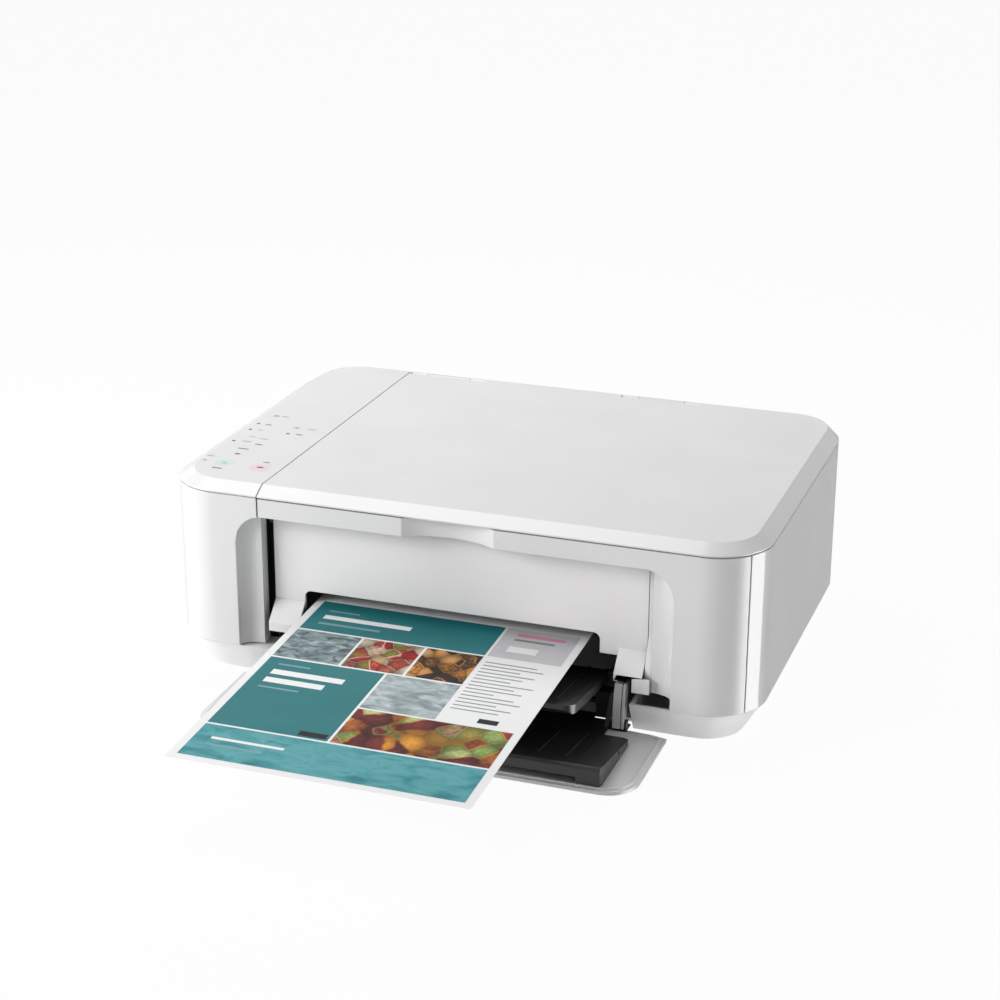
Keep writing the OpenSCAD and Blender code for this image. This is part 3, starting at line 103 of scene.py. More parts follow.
def mouldedPlastic(name, colour, roughness, grain=0.5, depth=0.12, rim=0.35, blotch=0.02, corners=0.0):
    # Injection-moulded ABS. The spark-eroded mould leaves a fine dull grain that spreads the
    # highlights; grain is its spacing in mm, drawn coarser than the real 0.1 mm so that it shows.
    # rim is the radius in mm of its edges' shine, and blotch how much its tone drifts.
    # corners is how far a painted shade darkens the plastic's colour in its seams, creases and inner corners.
    drift, reach = 71.4, 22  # mm: size of a patch of tone, and how wide a corner's shade spreads
    material, tree, surface = startMaterial(name)
    where = addNode(tree, "TexCoord").outputs["Object"]
    cloud = addNode(tree, "TexNoise", Vector=where, Scale=1 / (drift * mm), Detail=2.0)
    level = addNode(tree, "MapRange", Value=cloud.outputs["Fac"], From_Min=0.3, From_Max=0.7,
                    To_Min=1 - blotch, To_Max=1 + blotch)
    tint = addNode(tree, "Mix", {"data_type": "RGBA", "blend_type": "MULTIPLY"}, i0=1.0,
                   i6=toLinear(colour), i7=level.outputs["Result"])
    tone = tint.outputs[2]
    # painted shade: the colour darkens where ambient occlusion finds other surfaces close by
    if corners:
        shelter = addNode(tree, "AmbientOcclusion", {"samples": 6}, Distance=reach * mm)
        paintedShade = addNode(tree, "MapRange", {"interpolation_type": "SMOOTHSTEP"}, Value=shelter.outputs["AO"],
                        From_Min=0.05, From_Max=0.95, To_Min=1 - corners, To_Max=1.0)
        tone = addNode(tree, "Mix", {"data_type": "RGBA", "blend_type": "MULTIPLY"}, i0=1.0, i6=tone,
                       i7=paintedShade.outputs["Result"]).outputs[2]
    pits = addNode(tree, "TexNoise", Vector=where, Scale=1 / (grain * mm), Detail=3.0, Roughness=0.6)
    dull = addNode(tree, "MapRange", Value=pits.outputs["Fac"], From_Min=0.25, From_Max=0.75,
                   To_Min=roughness - 0.05, To_Max=roughness + 0.05)
    edge = addNode(tree, "Bevel", {"samples": 6}, Radius=rim * mm)
    bump = addNode(tree, "Bump", Strength=depth, Distance=0.05 * mm, Height=pits.outputs["Fac"],
                   Normal=edge.outputs["Normal"])
    tree.links.new(tone, surface.inputs["Base Color"])
    tree.links.new(dull.outputs["Result"], surface.inputs["Roughness"])
    tree.links.new(bump.outputs["Normal"], surface.inputs["Normal"])
    surface.inputs["IOR"].default_value = 1.53
    return material


def metal(name, colour, roughness, streak=(1.0, 1.0, 1.0), depth=0.15):
    # Rolled or ground steel: fine parallel scratches, longer along the direction of working,
    # drawn 1.1 mm apart, coarser than the real ones, so that they show
    scratch = 1.11
    material, tree, surface = startMaterial(name)
    where = addNode(tree, "TexCoord").outputs["Object"]
    turned = addNode(tree, "Mapping", Vector=where, Scale=streak)
    lines = addNode(tree, "TexNoise", Vector=turned.outputs["Vector"], Scale=1 / (scratch * mm), Detail=4.0)
    dull = addNode(tree, "MapRange", Value=lines.outputs["Fac"], From_Min=0.3, From_Max=0.7,
                   To_Min=roughness * 0.8, To_Max=roughness * 1.25)
    bump = addNode(tree, "Bump", Strength=depth, Distance=0.02 * mm, Height=lines.outputs["Fac"])
    surface.inputs["Base Color"].default_value = toLinear(colour)
    surface.inputs["Metallic"].default_value = 1.0
    tree.links.new(dull.outputs["Result"], surface.inputs["Roughness"])
    tree.links.new(bump.outputs["Normal"], surface.inputs["Normal"])
    return material


def clearGlass(name, tint, roughness=0.02):
    # Float glass: clear, with a faint green tint, and finger smears that dull its shine in patches
    smearSize = 33.3  # mm
    material, tree, surface = startMaterial(name)
    surface.inputs["Base Color"].default_value = toLinear(tint)
    surface.inputs["Transmission Weight"].default_value = 1.0
    surface.inputs["IOR"].default_value = 1.52
    where = addNode(tree, "TexCoord").outputs["Object"]
    smears = addNode(tree, "TexNoise", Vector=where, Scale=1 / (smearSize * mm), Detail=3.0)
    dull = addNode(tree, "MapRange", Value=smears.outputs["Fac"], To_Min=roughness, To_Max=roughness + 0.03)
    tree.links.new(dull.outputs["Result"], surface.inputs["Roughness"])
    return material


def solderResist(name):
    # Glass-fibre board under green lacquer, with copper tracks that stand up under it
    row = 2.78  # mm between tracks, where the texture's own rows are a quarter apart
    material, tree, surface = startMaterial(name)
    where = addNode(tree, "TexCoord").outputs["Object"]
    tracks = addNode(tree, "TexBrick", {"offset": 0.37, "squash": 1.6, "squash_frequency": 3}, Vector=where,
                     Scale=0.25 / (row * mm), Mortar_Size=0.06, Color1=toLinear("#1F6B3A"),
                     Color2=toLinear("#23733F"), Mortar=toLinear("#3C9A5C"))
    tree.links.new(tracks.outputs["Color"], surface.inputs["Base Color"])
    bump = addNode(tree, "Bump", Strength=0.3, Distance=0.05 * mm, Height=tracks.outputs["Fac"])
    tree.links.new(bump.outputs["Normal"], surface.inputs["Normal"])
    surface.inputs["Roughness"].default_value = 0.3
    return material


def toothedBelt(name, colour, pitch):
    # Neoprene belt with moulded teeth across it; pitch is their spacing in mm
    material, tree, surface = startMaterial(name)
    where = addNode(tree, "TexCoord").outputs["Object"]
    thread = 0.4  # mm between the threads of its cloth facing
    teeth = addNode(tree, "TexWave", {"wave_profile": "TRI"}, Vector=where,
                    Scale=math.tau / (20 * pitch * mm))  # the texture repeats every tau / 20
    weave = addNode(tree, "TexNoise", Vector=where, Scale=1 / (thread * mm), Detail=3.0)
    # painted shade: the colour darkens to near black in the grooves between the teeth
    tone = colourRamp(tree, teeth.outputs["Fac"], ((0.2, "#101011"), (0.8, colour)))
    tree.links.new(tone, surface.inputs["Base Color"])
    cloth = addNode(tree, "Bump", Strength=0.2, Distance=0.05 * mm, Height=weave.outputs["Fac"])
    bump = addNode(tree, "Bump", Strength=0.9, Distance=0.6 * mm, Height=teeth.outputs["Fac"],
                   Normal=cloth.outputs["Normal"])
    tree.links.new(bump.outputs["Normal"], surface.inputs["Normal"])
    surface.inputs["Roughness"].default_value = 0.7
    return material


looks = {
    # the shells: soft streaks of light along the round corners, from the dull grain
    # corners= sets how deep the painted shade in their seams and inner corners is
    "white": mouldedPlastic("whiteAbs", "#E9E9E9", 0.24, corners=0.2),
    # same plastic as the shells, painted lighter and pinker as painted light in the recess
    "bright": mouldedPlastic("paintedLitWhiteAbs", "#F7F5F5", 0.3, corners=0.7),  # inner walls, shaded inside
    "satin": mouldedPlastic("satinWhiteAbs", "#F4F4F4", 0.5, corners=0.1),  # the foot, duller and brighter
    # same plastic as the case, painted a touch greyer as painted shade on the door
    "door": mouldedPlastic("doorWhiteAbs", "#E6E6E6", 0.3, corners=0.3),
    "side": mouldedPlastic("paleGreyAbs", "#E2E2E2", 0.24, corners=0.4),  # a shade greyer than the front
    "grey": mouldedPlastic("midGreyAbs", "#D0D0D0", 0.3),
    "tub": mouldedPlastic("scannerGreyAbs", "#C9CBCC", 0.5),  # dull, so that nothing glares by the glass
    # the dark insides: near black, with grey light on their ribs
    "black": mouldedPlastic("blackAbs", "#1D1D1E", 0.38, grain=0.6, depth=0.2),
    "dark": mouldedPlastic("charcoalAbs", "#2B2C2E", 0.45, grain=0.6, depth=0.2),
    "acetal": mouldedPlastic("naturalAcetal", "#E2E0D6", 0.3, grain=1.2, depth=0.05),  # waxy cream gears
    "foam": mouldedPlastic("filmedFoam", "#EFEFED", 0.6, grain=1.5, depth=0.4),  # white film, cushioned
    "rubber": mouldedPlastic("nitrileRubber", "#202122", 0.75, grain=0.4, depth=0.3),  # ground, no shine
    "belt": toothedBelt("neopreneBelt", "#2A2A2C", 2.0),
    "steel": metal("zincedSheetSteel", "#B9BCC0", 0.32, streak=(0.2, 1.0, 1.0)),  # bluish, rolled along x
    "rod": metal("groundSteelRod", "#D0D2D4", 0.14, streak=(6.0, 0.3, 0.3), depth=0.05),  # bright
    "can": metal("drawnSteelCan", "#8F9296", 0.3, streak=(1.0, 0.3, 1.0)),  # darker motor cans
    "glass": clearGlass("floatGlass", "#EAF4F0"),
    "film": clearGlass("encoderFilm", "#CFCFCF", 0.2),  # smoky polyester strip
    "board": solderResist("greenSolderResist"),
    "lens": mouldedPlastic("smokedLens", "#232323", 0.12, depth=0.0),  # polished, dark until lit
}

finish = {
    "bright": ["recess_panel", "output_cover"],
    "satin": ["base_pan"],
    "door": ["front_door"],
    "white": ["front_frame", "left_column", "control_panel", "document_lid", "power_button",
              "wireless_button", "paper_button", "black_copy_button", "colour_copy_button", "stop_button"],
    "side": ["side_cover_right", "side_cover_left", "rear_cover", "lid_hinges"],
    "grey": ["link_lever"],
    "tub": ["scanner_tub"],
    "black": ["inner_cheek", "tray_insert", "output_tray", "tray_rails", "print_platen", "power_supply",
              "rear_sockets", "black_cartridge", "scan_bar"],
    "dark": ["paper_stop", "paper_guide_left", "paper_guide_right", "ink_carriage", "colour_cartridge",
             "purge_unit"],
    "acetal": ["guide_pinion", "idler_gear", "motor_pinion", "motor_pulley", "idler_pulley"],
    "foam": ["lid_pad", "printed_sheet"],
    "belt": ["drive_belt"],
    "rubber": ["rubber_feet", "feed_roller", "output_roller", "pickup_roller"],
    "steel": ["frame_plates", "rail_beam", "case_screws", "star_wheels"],
    "rod": ["carriage_rod", "scan_rod"],
    "can": ["carriage_motor", "feed_motor"],
    "glass": ["platen_glass"],
    "film": ["encoder_strip"],
    "board": ["panel_board", "circuit_boards"],
    "lens": ["indicator_lenses"],
}
lookOf = {name: look for look, names in finish.items() for name in names}
for name, item in nodes.items():
    item.data.materials.clear()
    item.data.materials.append(looks[lookOf[name]])
print("materials assigned")


def finishMesh(bm, name, material, body, smoothBelow=32):
    # Faces shade smooth, and edges steeper than smoothBelow degrees stay crisp
    for face in bm.faces:
        face.smooth = True
    for edge in bm.edges:
        edge.smooth = edge.is_manifold and edge.calc_face_angle(0) < math.radians(smoothBelow)
    mesh = bpy.data.meshes.new(name)
    bm.to_mesh(mesh)
    bm.free()
    piece = bpy.data.objects.new(name, mesh)
    bpy.context.scene.collection.objects.link(piece)
    for entry in material if isinstance(material, list) else [material]:
        mesh.materials.append(entry)
    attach(piece, body)
    return piece


bodyOf = {name: body for body, names in frame["record"]["behaviour"]["bodies"].items() for name in names}


def roundEdges(bm, size, crease, segments):
    # Only edges whose neighbours are long enough to take the rounding, or it would fold over itself
    room = 1.6 * size
    sharp = [e for e in bm.edges if e.is_manifold and e.calc_face_angle(0) > math.radians(crease)]
    ends = {}
    for edge in sharp:
        for vert in edge.verts:
            ends.setdefault(vert, []).append(edge)
    chosen = [e for e in sharp if all(o.calc_length() > room for v in e.verts for o in ends[v])]
    bmesh.ops.bevel(bm, geom=chosen, offset=size, offset_type="OFFSET", segments=segments, profile=0.5,
                    affect="EDGES", clamp_overlap=False, material=-1, loop_slide=True)


def softCopy(nodeName, pieceName, radius, crease=28, smoothBelow=32, segments=2):
    # The CAD solid with its sharp edges rounded, as the mould rounds them; radius in mm, 0 for none
    bm = bmesh.new()
    bm.from_mesh(nodes[nodeName].data)
    bmesh.ops.remove_doubles(bm, verts=bm.verts, dist=0.002 * mm)
    # each flat becomes one face
    bmesh.ops.dissolve_limit(bm, angle_limit=math.radians(0.6), verts=bm.verts, edges=bm.edges)
    if radius:
        roundEdges(bm, radius * mm, crease, segments)
    piece = finishMesh(bm, pieceName, looks[lookOf[nodeName]], bodyOf[nodeName], smoothBelow)
    weighted = piece.modifiers.new("flatFaces", "WEIGHTED_NORMAL")
    weighted.keep_sharp = True
    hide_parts(nodeName)
    return piece


softEdges = {
    # node: piece, rounding in mm, and where they differ the angles in degrees for rounding and for shading
    "front_frame": ("frontFrame", 0.8), "left_column": ("leftColumn", 0.8),
    "side_cover_right": ("sideCoverRight", 0.5, 28, 6), "side_cover_left": ("sideCoverLeft", 0.5, 28, 6),
    "rear_cover": ("rearCover", 0.5), "base_pan": ("basePan", 0.6),
    "control_panel": ("controlPanel", 0.4, 60, 15), "document_lid": ("documentLid", 0, 28, 15),
    "output_cover": ("outputCover", 0.5), "recess_panel": ("recessPanel", 0.5),
    "front_door": ("frontDoor", 0.5), "tray_insert": ("trayInsert", 0.5),
    "output_tray": ("outputTray", 0.6), "link_lever": ("linkLever", 0.5),
    "paper_stop": ("paperStop", 0.5), "scanner_tub": ("scannerTub", 0.5), "lid_pad": ("lidPad", 0.9),
    "black_cartridge": ("blackCartridge", 0.5), "colour_cartridge": ("colourCartridge", 0.5),
    "ink_carriage": ("inkCarriage", 0.4),
}
softPieces = {nodeName: softCopy(nodeName, *settings) for nodeName, settings in softEdges.items()}
print("moulded shells rounded")


# The printed page in the slot

def paperStock(name, warm, cool):
    # Uncoated office paper: fine fibres that kill any gloss, in two whites, drawn coarser than real
    fibreSize = 0.7  # mm
    material, tree, surface = startMaterial(name)
    where = addNode(tree, "TexCoord").outputs["Object"]
    fibre = addNode(tree, "TexNoise", Vector=where, Scale=1 / (fibreSize * mm), Detail=4.0)
    tone = colourRamp(tree, fibre.outputs["Fac"], ((0.3, warm), (0.7, cool)))
    tree.links.new(tone, surface.inputs["Base Color"])
    bump = addNode(tree, "Bump", Strength=0.1, Distance=0.02 * mm, Height=fibre.outputs["Fac"])
    tree.links.new(bump.outputs["Normal"], surface.inputs["Normal"])
    surface.inputs["Roughness"].default_value = 0.85
    surface.inputs["Specular IOR Level"].default_value = 0.2
    return material


def wetInk(name, stops, size, kind="flat", warp=0.0, roughness=0.55):
    # Inkjet ink soaked into paper. "flat" is one ink with faint bands where the head passed,
    # "cloud" a soft wash, "stones" a picture of rounded shapes; size is that of one shape in mm
    material, tree, surface = startMaterial(name)
    where = addNode(tree, "TexCoord").outputs["Object"]
    drift = addNode(tree, "TexNoise", Vector=where, Scale=0.6 / (size * mm), Detail=4.0)
    bent = addNode(tree, "VectorMath", {"operation": "MULTIPLY_ADD"}, i0=drift.outputs["Color"],
                   i1=(warp * mm,) * 3, i2=where)
    if kind == "stones":
        shape = addNode(tree, "TexVoronoi", {"feature": "SMOOTH_F1"}, Vector=bent.outputs["Vector"],
                        Scale=1 / (size * mm), Smoothness=0.25)
        fine = addNode(tree, "TexNoise", Vector=where, Scale=4 / (size * mm), Detail=5.0)
        split = addNode(tree, "SeparateColor", Color=shape.outputs["Color"])
        pick = addNode(tree, "Math", {"operation": "MULTIPLY_ADD"}, i0=fine.outputs["Fac"], i1=0.3,
                       i2=split.outputs["Red"])
        level = addNode(tree, "MapRange", Value=pick.outputs["Value"], From_Min=0.1, From_Max=1.2)
        tone = colourRamp(tree, level.outputs["Result"], stops)
        shade = addNode(tree, "MapRange", Value=shape.outputs["Distance"], From_Min=0.25, From_Max=0.75,
                        To_Min=1.0, To_Max=0.35)
        mixed = addNode(tree, "Mix", {"data_type": "RGBA", "blend_type": "MULTIPLY"}, i0=1.0, i6=tone,
                        i7=shade.outputs["Result"])
        tone = mixed.outputs[2]
    else:
        stretch = addNode(tree, "Mapping", Vector=bent.outputs["Vector"], Scale=(1.0, 2.2, 1.0))
        field = addNode(tree, "TexNoise", Vector=stretch.outputs["Vector"],
                        Scale=1 / (size * mm), Detail=6.0 if kind == "cloud" else 1.0, Distortion=warp * 0.05)
        tone = colourRamp(tree, field.outputs["Fac"], stops)
    tree.links.new(tone, surface.inputs["Base Color"])
    surface.inputs["Roughness"].default_value = roughness
    surface.inputs["Specular IOR Level"].default_value = 0.3
    return material


inks = {
    # each takes its colours in order along the pattern, with the size of one shape in mm; all dry dull
    "paper": paperStock("officePaper", "#F7F7F5", "#F7F7F9"),
    "lake": wetInk("lakeInk", ((0.3, "#2F7F86"), (0.45, "#4E9CA3"), (0.6, "#63AAB0"), (0.75, "#3B8B92")),
                   22, "cloud", 9),
    "teal": wetInk("tealInk", ((0.3, "#2C757A"), (0.7, "#317B80")), 60),
    "deep": wetInk("deepTealInk", ((0.3, "#257278"), (0.7, "#2B7D82")), 60),
    "slate": wetInk("slateInk", ((0.25, "#39494C"), (0.42, "#5F7377"), (0.55, "#8C9C9F"), (0.7, "#B9C4C6")),
                    11, "cloud", 14),
    "mist": wetInk("mistInk", ((0.25, "#6E8084"), (0.45, "#94A3A6"), (0.6, "#BAC5C7"), (0.75, "#D6DDDE")),
                   14, "cloud", 12),
    "leaf": wetInk("leafInk", ((0.05, "#4B1D22"), (0.25, "#8E3A2E"), (0.4, "#C9802F"), (0.52, "#E9A23B"),
                               (0.66, "#7E9A4A"), (0.8, "#C9CF8E"), (0.95, "#B23340")), 15, "stones", 9),
    "red": wetInk("redInk", ((0.05, "#7F1A1E"), (0.3, "#C22A2C"), (0.5, "#D8C08A"), (0.65, "#E8DCC0"),
                             (0.8, "#B0272B"), (0.95, "#6E8B3C")), 11, "stones", 7),
    "amber": wetInk("amberInk", ((0.05, "#1D1410"), (0.35, "#4A2F1E"), (0.55, "#E2952B"), (0.68, "#C9A074"),
                                 (0.82, "#2A1B13"), (0.95, "#D98A2A")), 11, "stones", 4),
    "pale": wetInk("paleGreyInk", ((0.3, "#CFCDD0"), (0.7, "#D8D6D9")), 40),
    "black": wetInk("blackInk", ((0.3, "#141414"), (0.7, "#1B1B1B")), 40),
    "blue": wetInk("blueGreyInk", ((0.3, "#7FA0AA"), (0.7, "#86A6B0")), 40),
    "line": wetInk("greyInk", ((0.3, "#8D8D90"), (0.7, "#959598")), 40),
    "rose": wetInk("roseInk", ((0.3, "#E58FB2"), (0.7, "#EB9CBB")), 40),
}


def addRect(bm, place, low, high, slot):
    # A flat field of ink on the grid's plane; place maps it into the object, corners in mm
    middle = Vector(((low[0] + high[0]) / 2 * mm, (low[1] + high[1]) / 2 * mm, 0))
    size = Matrix.Diagonal(((high[0] - low[0]) * mm, (high[1] - low[1]) * mm, 1, 1))
    made = bmesh.ops.create_grid(bm, x_segments=1, y_segments=1, size=0.5,
                                 matrix=place @ Matrix.Translation(middle) @ size)
    for face in {f for v in made["verts"] for f in v.link_faces}:
        face.material_index = slot


page = {
    "thick": 0.12,  # mm
    "lift": 0.06,  # of one layer of ink over the next, so that they don't flicker
    # fields: left, outer end, right, inner end, ink; in mm from the page's outer left corner
    "fields": (
        (6, 6, 204, 48, "lake"), (6, 50, 92, 150, "teal"), (94, 50, 204, 98, "leaf"),
        (94, 100, 148, 150, "mist"), (6, 152, 56, 196, "slate"), (58, 152, 104, 196, "red"),
        (106, 152, 148, 196, "amber"), (6, 198, 148, 244, "deep"), (150, 198, 204, 244, "pale"),
    ),
    "bars": (
        (18, 30, 70, 33, "paper"), (18, 22, 58, 24, "blue"), (16, 126, 70, 133, "paper"),
        (16, 114, 60, 121, "paper"), (16, 106, 46, 108, "blue"), (16, 140, 40, 142, "blue"),
        (70, 52, 90, 58, "black"), (176, 104, 190, 110, "black"), (16, 217, 84, 223, "paper"),
        (16, 208, 64, 211, "blue"), (16, 229, 40, 231, "blue"), (160, 226, 190, 229, "line"),
        (160, 208, 182, 217, "paper"), (160, 233, 196, 237, "rose"),
    ),
    # the white column: bars of writing between these two places, right-hand ends uneven
    "column": {"left": 152, "rows": range(118, 192, 5), "lengths": (34, 41, 29, 44, 38, 22, 40, 33, 45, 27)},
}


def addPage(thick, lift, fields, bars, column):
    corners = [v.co for v in nodes["printed_sheet"].data.vertices]
    outer = min(c.y for c in corners)
    inner = max(c.y for c in corners)
    topOf = {end: max(c.z for c in corners if abs(c.y - end) < 1e-4) for end in (outer, inner)}
    left = min(c.x for c in corners)
    width = max(c.x for c in corners) - left
    slope = math.atan2(topOf[inner] - topOf[outer], inner - outer)
    length = (inner - outer) / math.cos(slope)
    bm = bmesh.new()
    lies = Matrix.Translation((left, outer, topOf[outer])) @ Matrix.Rotation(slope, 4, "X")
    middle = Matrix.Translation((width / 2, length / 2, 0)) @ Matrix.Diagonal((width, length, 1, 1))
    bmesh.ops.create_grid(bm, x_segments=8, y_segments=24, size=0.5, matrix=lies @ middle)
    bmesh.ops.solidify(bm, geom=list(bm.faces), thickness=thick * mm)
    names = list(inks)
    for level, group in enumerate((fields, bars), start=1):
        place = lies @ Matrix.Translation((0, 0, level * lift * mm))
        for u0, v0, u1, v1, ink in group:
            addRect(bm, place, (u0, v0), (u1, v1), names.index(ink))
    place = lies @ Matrix.Translation((0, 0, lift * mm))
    for index, row in enumerate(column["rows"]):
        long = column["lengths"][index % len(column["lengths"])]
        ink = "blue" if index % 5 == 0 else "line"
        addRect(bm, place, (column["left"], row), (column["left"] + long, row + 1.3), names.index(ink))
    piece = finishMesh(bm, "printedPage", [inks[name] for name in names], "sheet", 20)
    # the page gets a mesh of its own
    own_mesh(piece)
    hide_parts("printed_sheet")


addPage(**page)
print("printed page laid")


# Marks round the scanner glass, and the ink cartridges' labels

bezel = {
    "lift": 0.03, "gap": 3.0, "inset": 10.0, "step": 10.0,  # mm
    "tick": (0.35, 1.6, 3.2),  # width, short and long reach
    "corner": 3.2,
}


def addBezelMarks(lift, gap, inset, step, tick, corner):
    # A ruler along the front and left of the glass, and the corner where a page is laid
    low, high = (Vector(place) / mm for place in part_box("platen_glass"))
    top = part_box("scanner_tub")[1][2]
    flat = Matrix.Translation((0, 0, top + lift * mm))
    wide, short, long = tick
    bm = bmesh.new()
    for count in range(int((high.x - low.x - 2 * inset) / step)):
        x = low.x + inset + count * step
        reach = short if count % 5 else long
        addRect(bm, flat, (x, high.y + gap), (x + wide, high.y + gap + reach), 0)
    for count in range(int((high.y - low.y - 2 * inset) / step)):
        y = high.y - inset - count * step
        reach = short if count % 5 else long
        addRect(bm, flat, (low.x - gap - reach, y), (low.x - gap, y + wide), 0)
    at = flat @ Matrix.Translation(((low.x - gap) * mm, (high.y + gap) * mm, 0)) @ Matrix.Rotation(
        math.radians(-45), 4, "Z")
    bmesh.ops.create_circle(bm, cap_ends=True, segments=3, radius=corner * mm, matrix=at)
    finishMesh(bm, "bezelMarks", inks["black"], bodyOf["scanner_tub"])


labels = {
    # node: piece, and its bands from the bottom up
    "black_cartridge": ("blackLabel", ("#2B2C2E", "#E6E6E4", "#17181A")),
    "colour_cartridge": ("colourLabel", ("#E6E6E4", "#2E9CC7", "#C7417E", "#E3C63A")),
}


labelPlace = {"lift": 0.04, "side": 1.5, "foot": 0.45, "head": 2.5}  # mm, but foot is a share of the height


def addLabel(node, name, bands, lift, side, foot, head):
    # A glossy paper label on the cartridge's front, in plain bands
    low, high = (Vector(place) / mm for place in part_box(node))
    upright = Matrix.Translation((0, (low.y - lift) * mm, 0)) @ Matrix.Rotation(math.radians(90), 4, "X")
    bm = bmesh.new()
    under, over = low.z + (high.z - low.z) * foot, high.z - head
    edges = [under + (over - under) * share / len(bands) for share in range(len(bands) + 1)]
    for slot, (start, end) in enumerate(zip(edges, edges[1:])):
        addRect(bm, upright, (low.x + side, start), (high.x - side, end), slot)
    printed = [wetInk(name + "Ink" + str(slot), ((0.3, colour), (0.7, colour)), 8, roughness=0.35)
               for slot, colour in enumerate(bands)]
    finishMesh(bm, name, printed, bodyOf[node])


addBezelMarks(**bezel)
for node, settings in labels.items():
    addLabel(node, *settings, **labelPlace)
print("scanner marks and labels placed")


# Marks printed on the control panel

panelMarks = {
    "lift": 0.02,
    # the printed film over the panel's keys, in two fields: left, front, right, back in mm
    "film": ((-212.9, 20.0, -154.0, 124.0), (-205.0, -12.0, -154.0, 20.0)),
    # round windows over the four lenses, and their radius
    "windowSize": 1.5,
    "windows": ((-208.5, 90.0), (-208.5, 75.2), (-208.5, 46.2), (-176.7, 75.5)),
    # bars of writing: left end, middle across, length, height in mm, ink
    "bars": (
        (-202.5, 89.9, 5.2, 1.8, "line"), (-202.3, 75.7, 4.0, 1.4, "faint"),
        (-169.9, 76.0, 5.2, 1.8, "line"), (-201.7, 59.3, 5.1, 1.6, "faint"),
        (-192.6, 57.5, 7.4, 1.6, "faint"), (-202.0, 48.1, 7.2, 1.8, "faint"),
        (-190.0, 44.5, 6.2, 1.8, "line"), (-197.9, 32.0, 8.7, 1.9, "line"),
        (-198.1, 112.1, 5.7, 1.8, "faint"), (-166.0, 90.6, 6.2, 1.8, "faint"),
        (-213.0, 9.3, 6.4, 1.8, "faint"), (-197.5, -13.7, 8.2, 1.9, "line"),
        (-166.6, 9.2, 5.7, 1.7, "plum"),
    ),
    # key pads: middle, size, pad ink, glyph ink, glyph corners; a glyph's radius, and how much wider it is
    "glyph": (1.9, 1.6),
    "pads": (
        ((-203.0, 112.0), (10, 11), "lemon", "faint", 5), ((-192.8, 19.9), (0, 0), "paper", "violet", 4),
        ((-193.2, -1.7), (13, 13), "mint", "green", 3), ((-163.8, -2.0), (14, 14), "rose", "plum", 6),
        ((-176.0, 90.5), (0, 0), "paper", "faint", 4), ((-209.6, -1.0), (0, 0), "paper", "faint", 3),
    ),
}
panelInks = {
    # pad-printed inks: dull, paler than solid colour because they lie thin on white plastic
    "line": wetInk("padGreyInk", ((0.3, "#77777A"), (0.7, "#7C7C80")), 30),
    "faint": wetInk("padSilverInk", ((0.3, "#A9A9AB"), (0.7, "#AFAFB1")), 30),
    "lemon": wetInk("padLemonInk", ((0.3, "#E6E7DB"), (0.7, "#E8E9E0")), 30),
    "mint": wetInk("padMintInk", ((0.3, "#D2E5DB"), (0.7, "#D8E8DF")), 30),
    "rose": wetInk("padRoseInk", ((0.3, "#EFD8DF"), (0.7, "#EEDDE2")), 30),
    "green": wetInk("padGreenInk", ((0.3, "#8FC4A8"), (0.7, "#98C9AF")), 30),
    "plum": wetInk("padPlumInk", ((0.3, "#8F6E7C"), (0.7, "#957584")), 30),
    "violet": wetInk("padVioletInk", ((0.3, "#77748C"), (0.7, "#7E7B92")), 30),
    "paper": looks["white"],
    "smoke": looks["lens"],
}


def addPanelMarks(lift, film, windowSize, windows, bars, glyph, pads):
    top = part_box("control_panel")[1][2]
    names = list(panelInks)
    under = Matrix.Translation((0, 0, top + lift * mm / 2))
    bm = bmesh.new()
    for field in film:
        addRect(bm, under, field[:2], field[2:], names.index("paper"))
    over = Matrix.Translation((0, 0, top + lift * mm))
    for x, y in windows:
        at = over @ Matrix.Translation((x * mm, y * mm, 0))
        made = bmesh.ops.create_circle(bm, cap_ends=True, segments=24, radius=windowSize * mm, matrix=at)
        for face in {f for v in made["verts"] for f in v.link_faces}:
            face.material_index = names.index("smoke")
    radius, stretch = glyph
    for (x, y), (wide, deep), pad, mark, corners in pads:
        if wide:
            addRect(bm, over, (x - wide / 2, y - deep / 2), (x + wide / 2, y + deep / 2), names.index(pad))
        at = over @ Matrix.Translation((x * mm, y * mm, lift * mm)) @ Matrix.Diagonal((stretch, 1, 1, 1))
        made = bmesh.ops.create_circle(bm, cap_ends=True, segments=corners, radius=radius * mm, matrix=at)
        for face in {f for v in made["verts"] for f in v.link_faces}:
            face.material_index = names.index(mark)
    for x, y, long, high, ink in bars:
        addRect(bm, over, (x, y - high / 2), (x + long, y + high / 2), names.index(ink))
    finishMesh(bm, "panelMarks", [panelInks[name] for name in names], bodyOf["control_panel"])


addPanelMarks(**panelMarks)
print("panel marks printed")


# Camera, light and floor

view = {
    "place": (0.5075, -1.3810, 0.6987), "tilt": 69.43, "roll": 0.23, "turn": 19.31,  # degrees
    "lens": 78.78, "sensor": 36.0, "nearest": 0.05,
}


def addCamera(place, tilt, roll, turn, lens, sensor, nearest):
    data = bpy.data.cameras.new("camera")
    data.lens = lens
    data.sensor_width = sensor
    data.clip_start = nearest
    item = bpy.data.objects.new("camera", data)
    item.location = place
    aim = Euler((math.radians(tilt), 0, math.radians(turn))).to_matrix()
    item.rotation_euler = (aim @ Matrix.Rotation(math.radians(roll), 3, "Z")).to_euler()
    bpy.context.scene.collection.objects.link(item)
    bpy.context.scene.camera = item


lamps = {
    # name: place, aimed at, size, watts
    "topSoftbox": ((-0.5, 0.35, 1.35), (0.0, 0.05, 0.1), 0.9, 7.6),
    "keySoftbox": ((-1.45, -0.95, 0.75), (0.0, 0.0, 0.08), 0.8, 22.0),
    "sideSoftbox": ((1.3, 0.5, 0.95), (0.0, 0.0, 0.1), 0.9, 3.0),
}


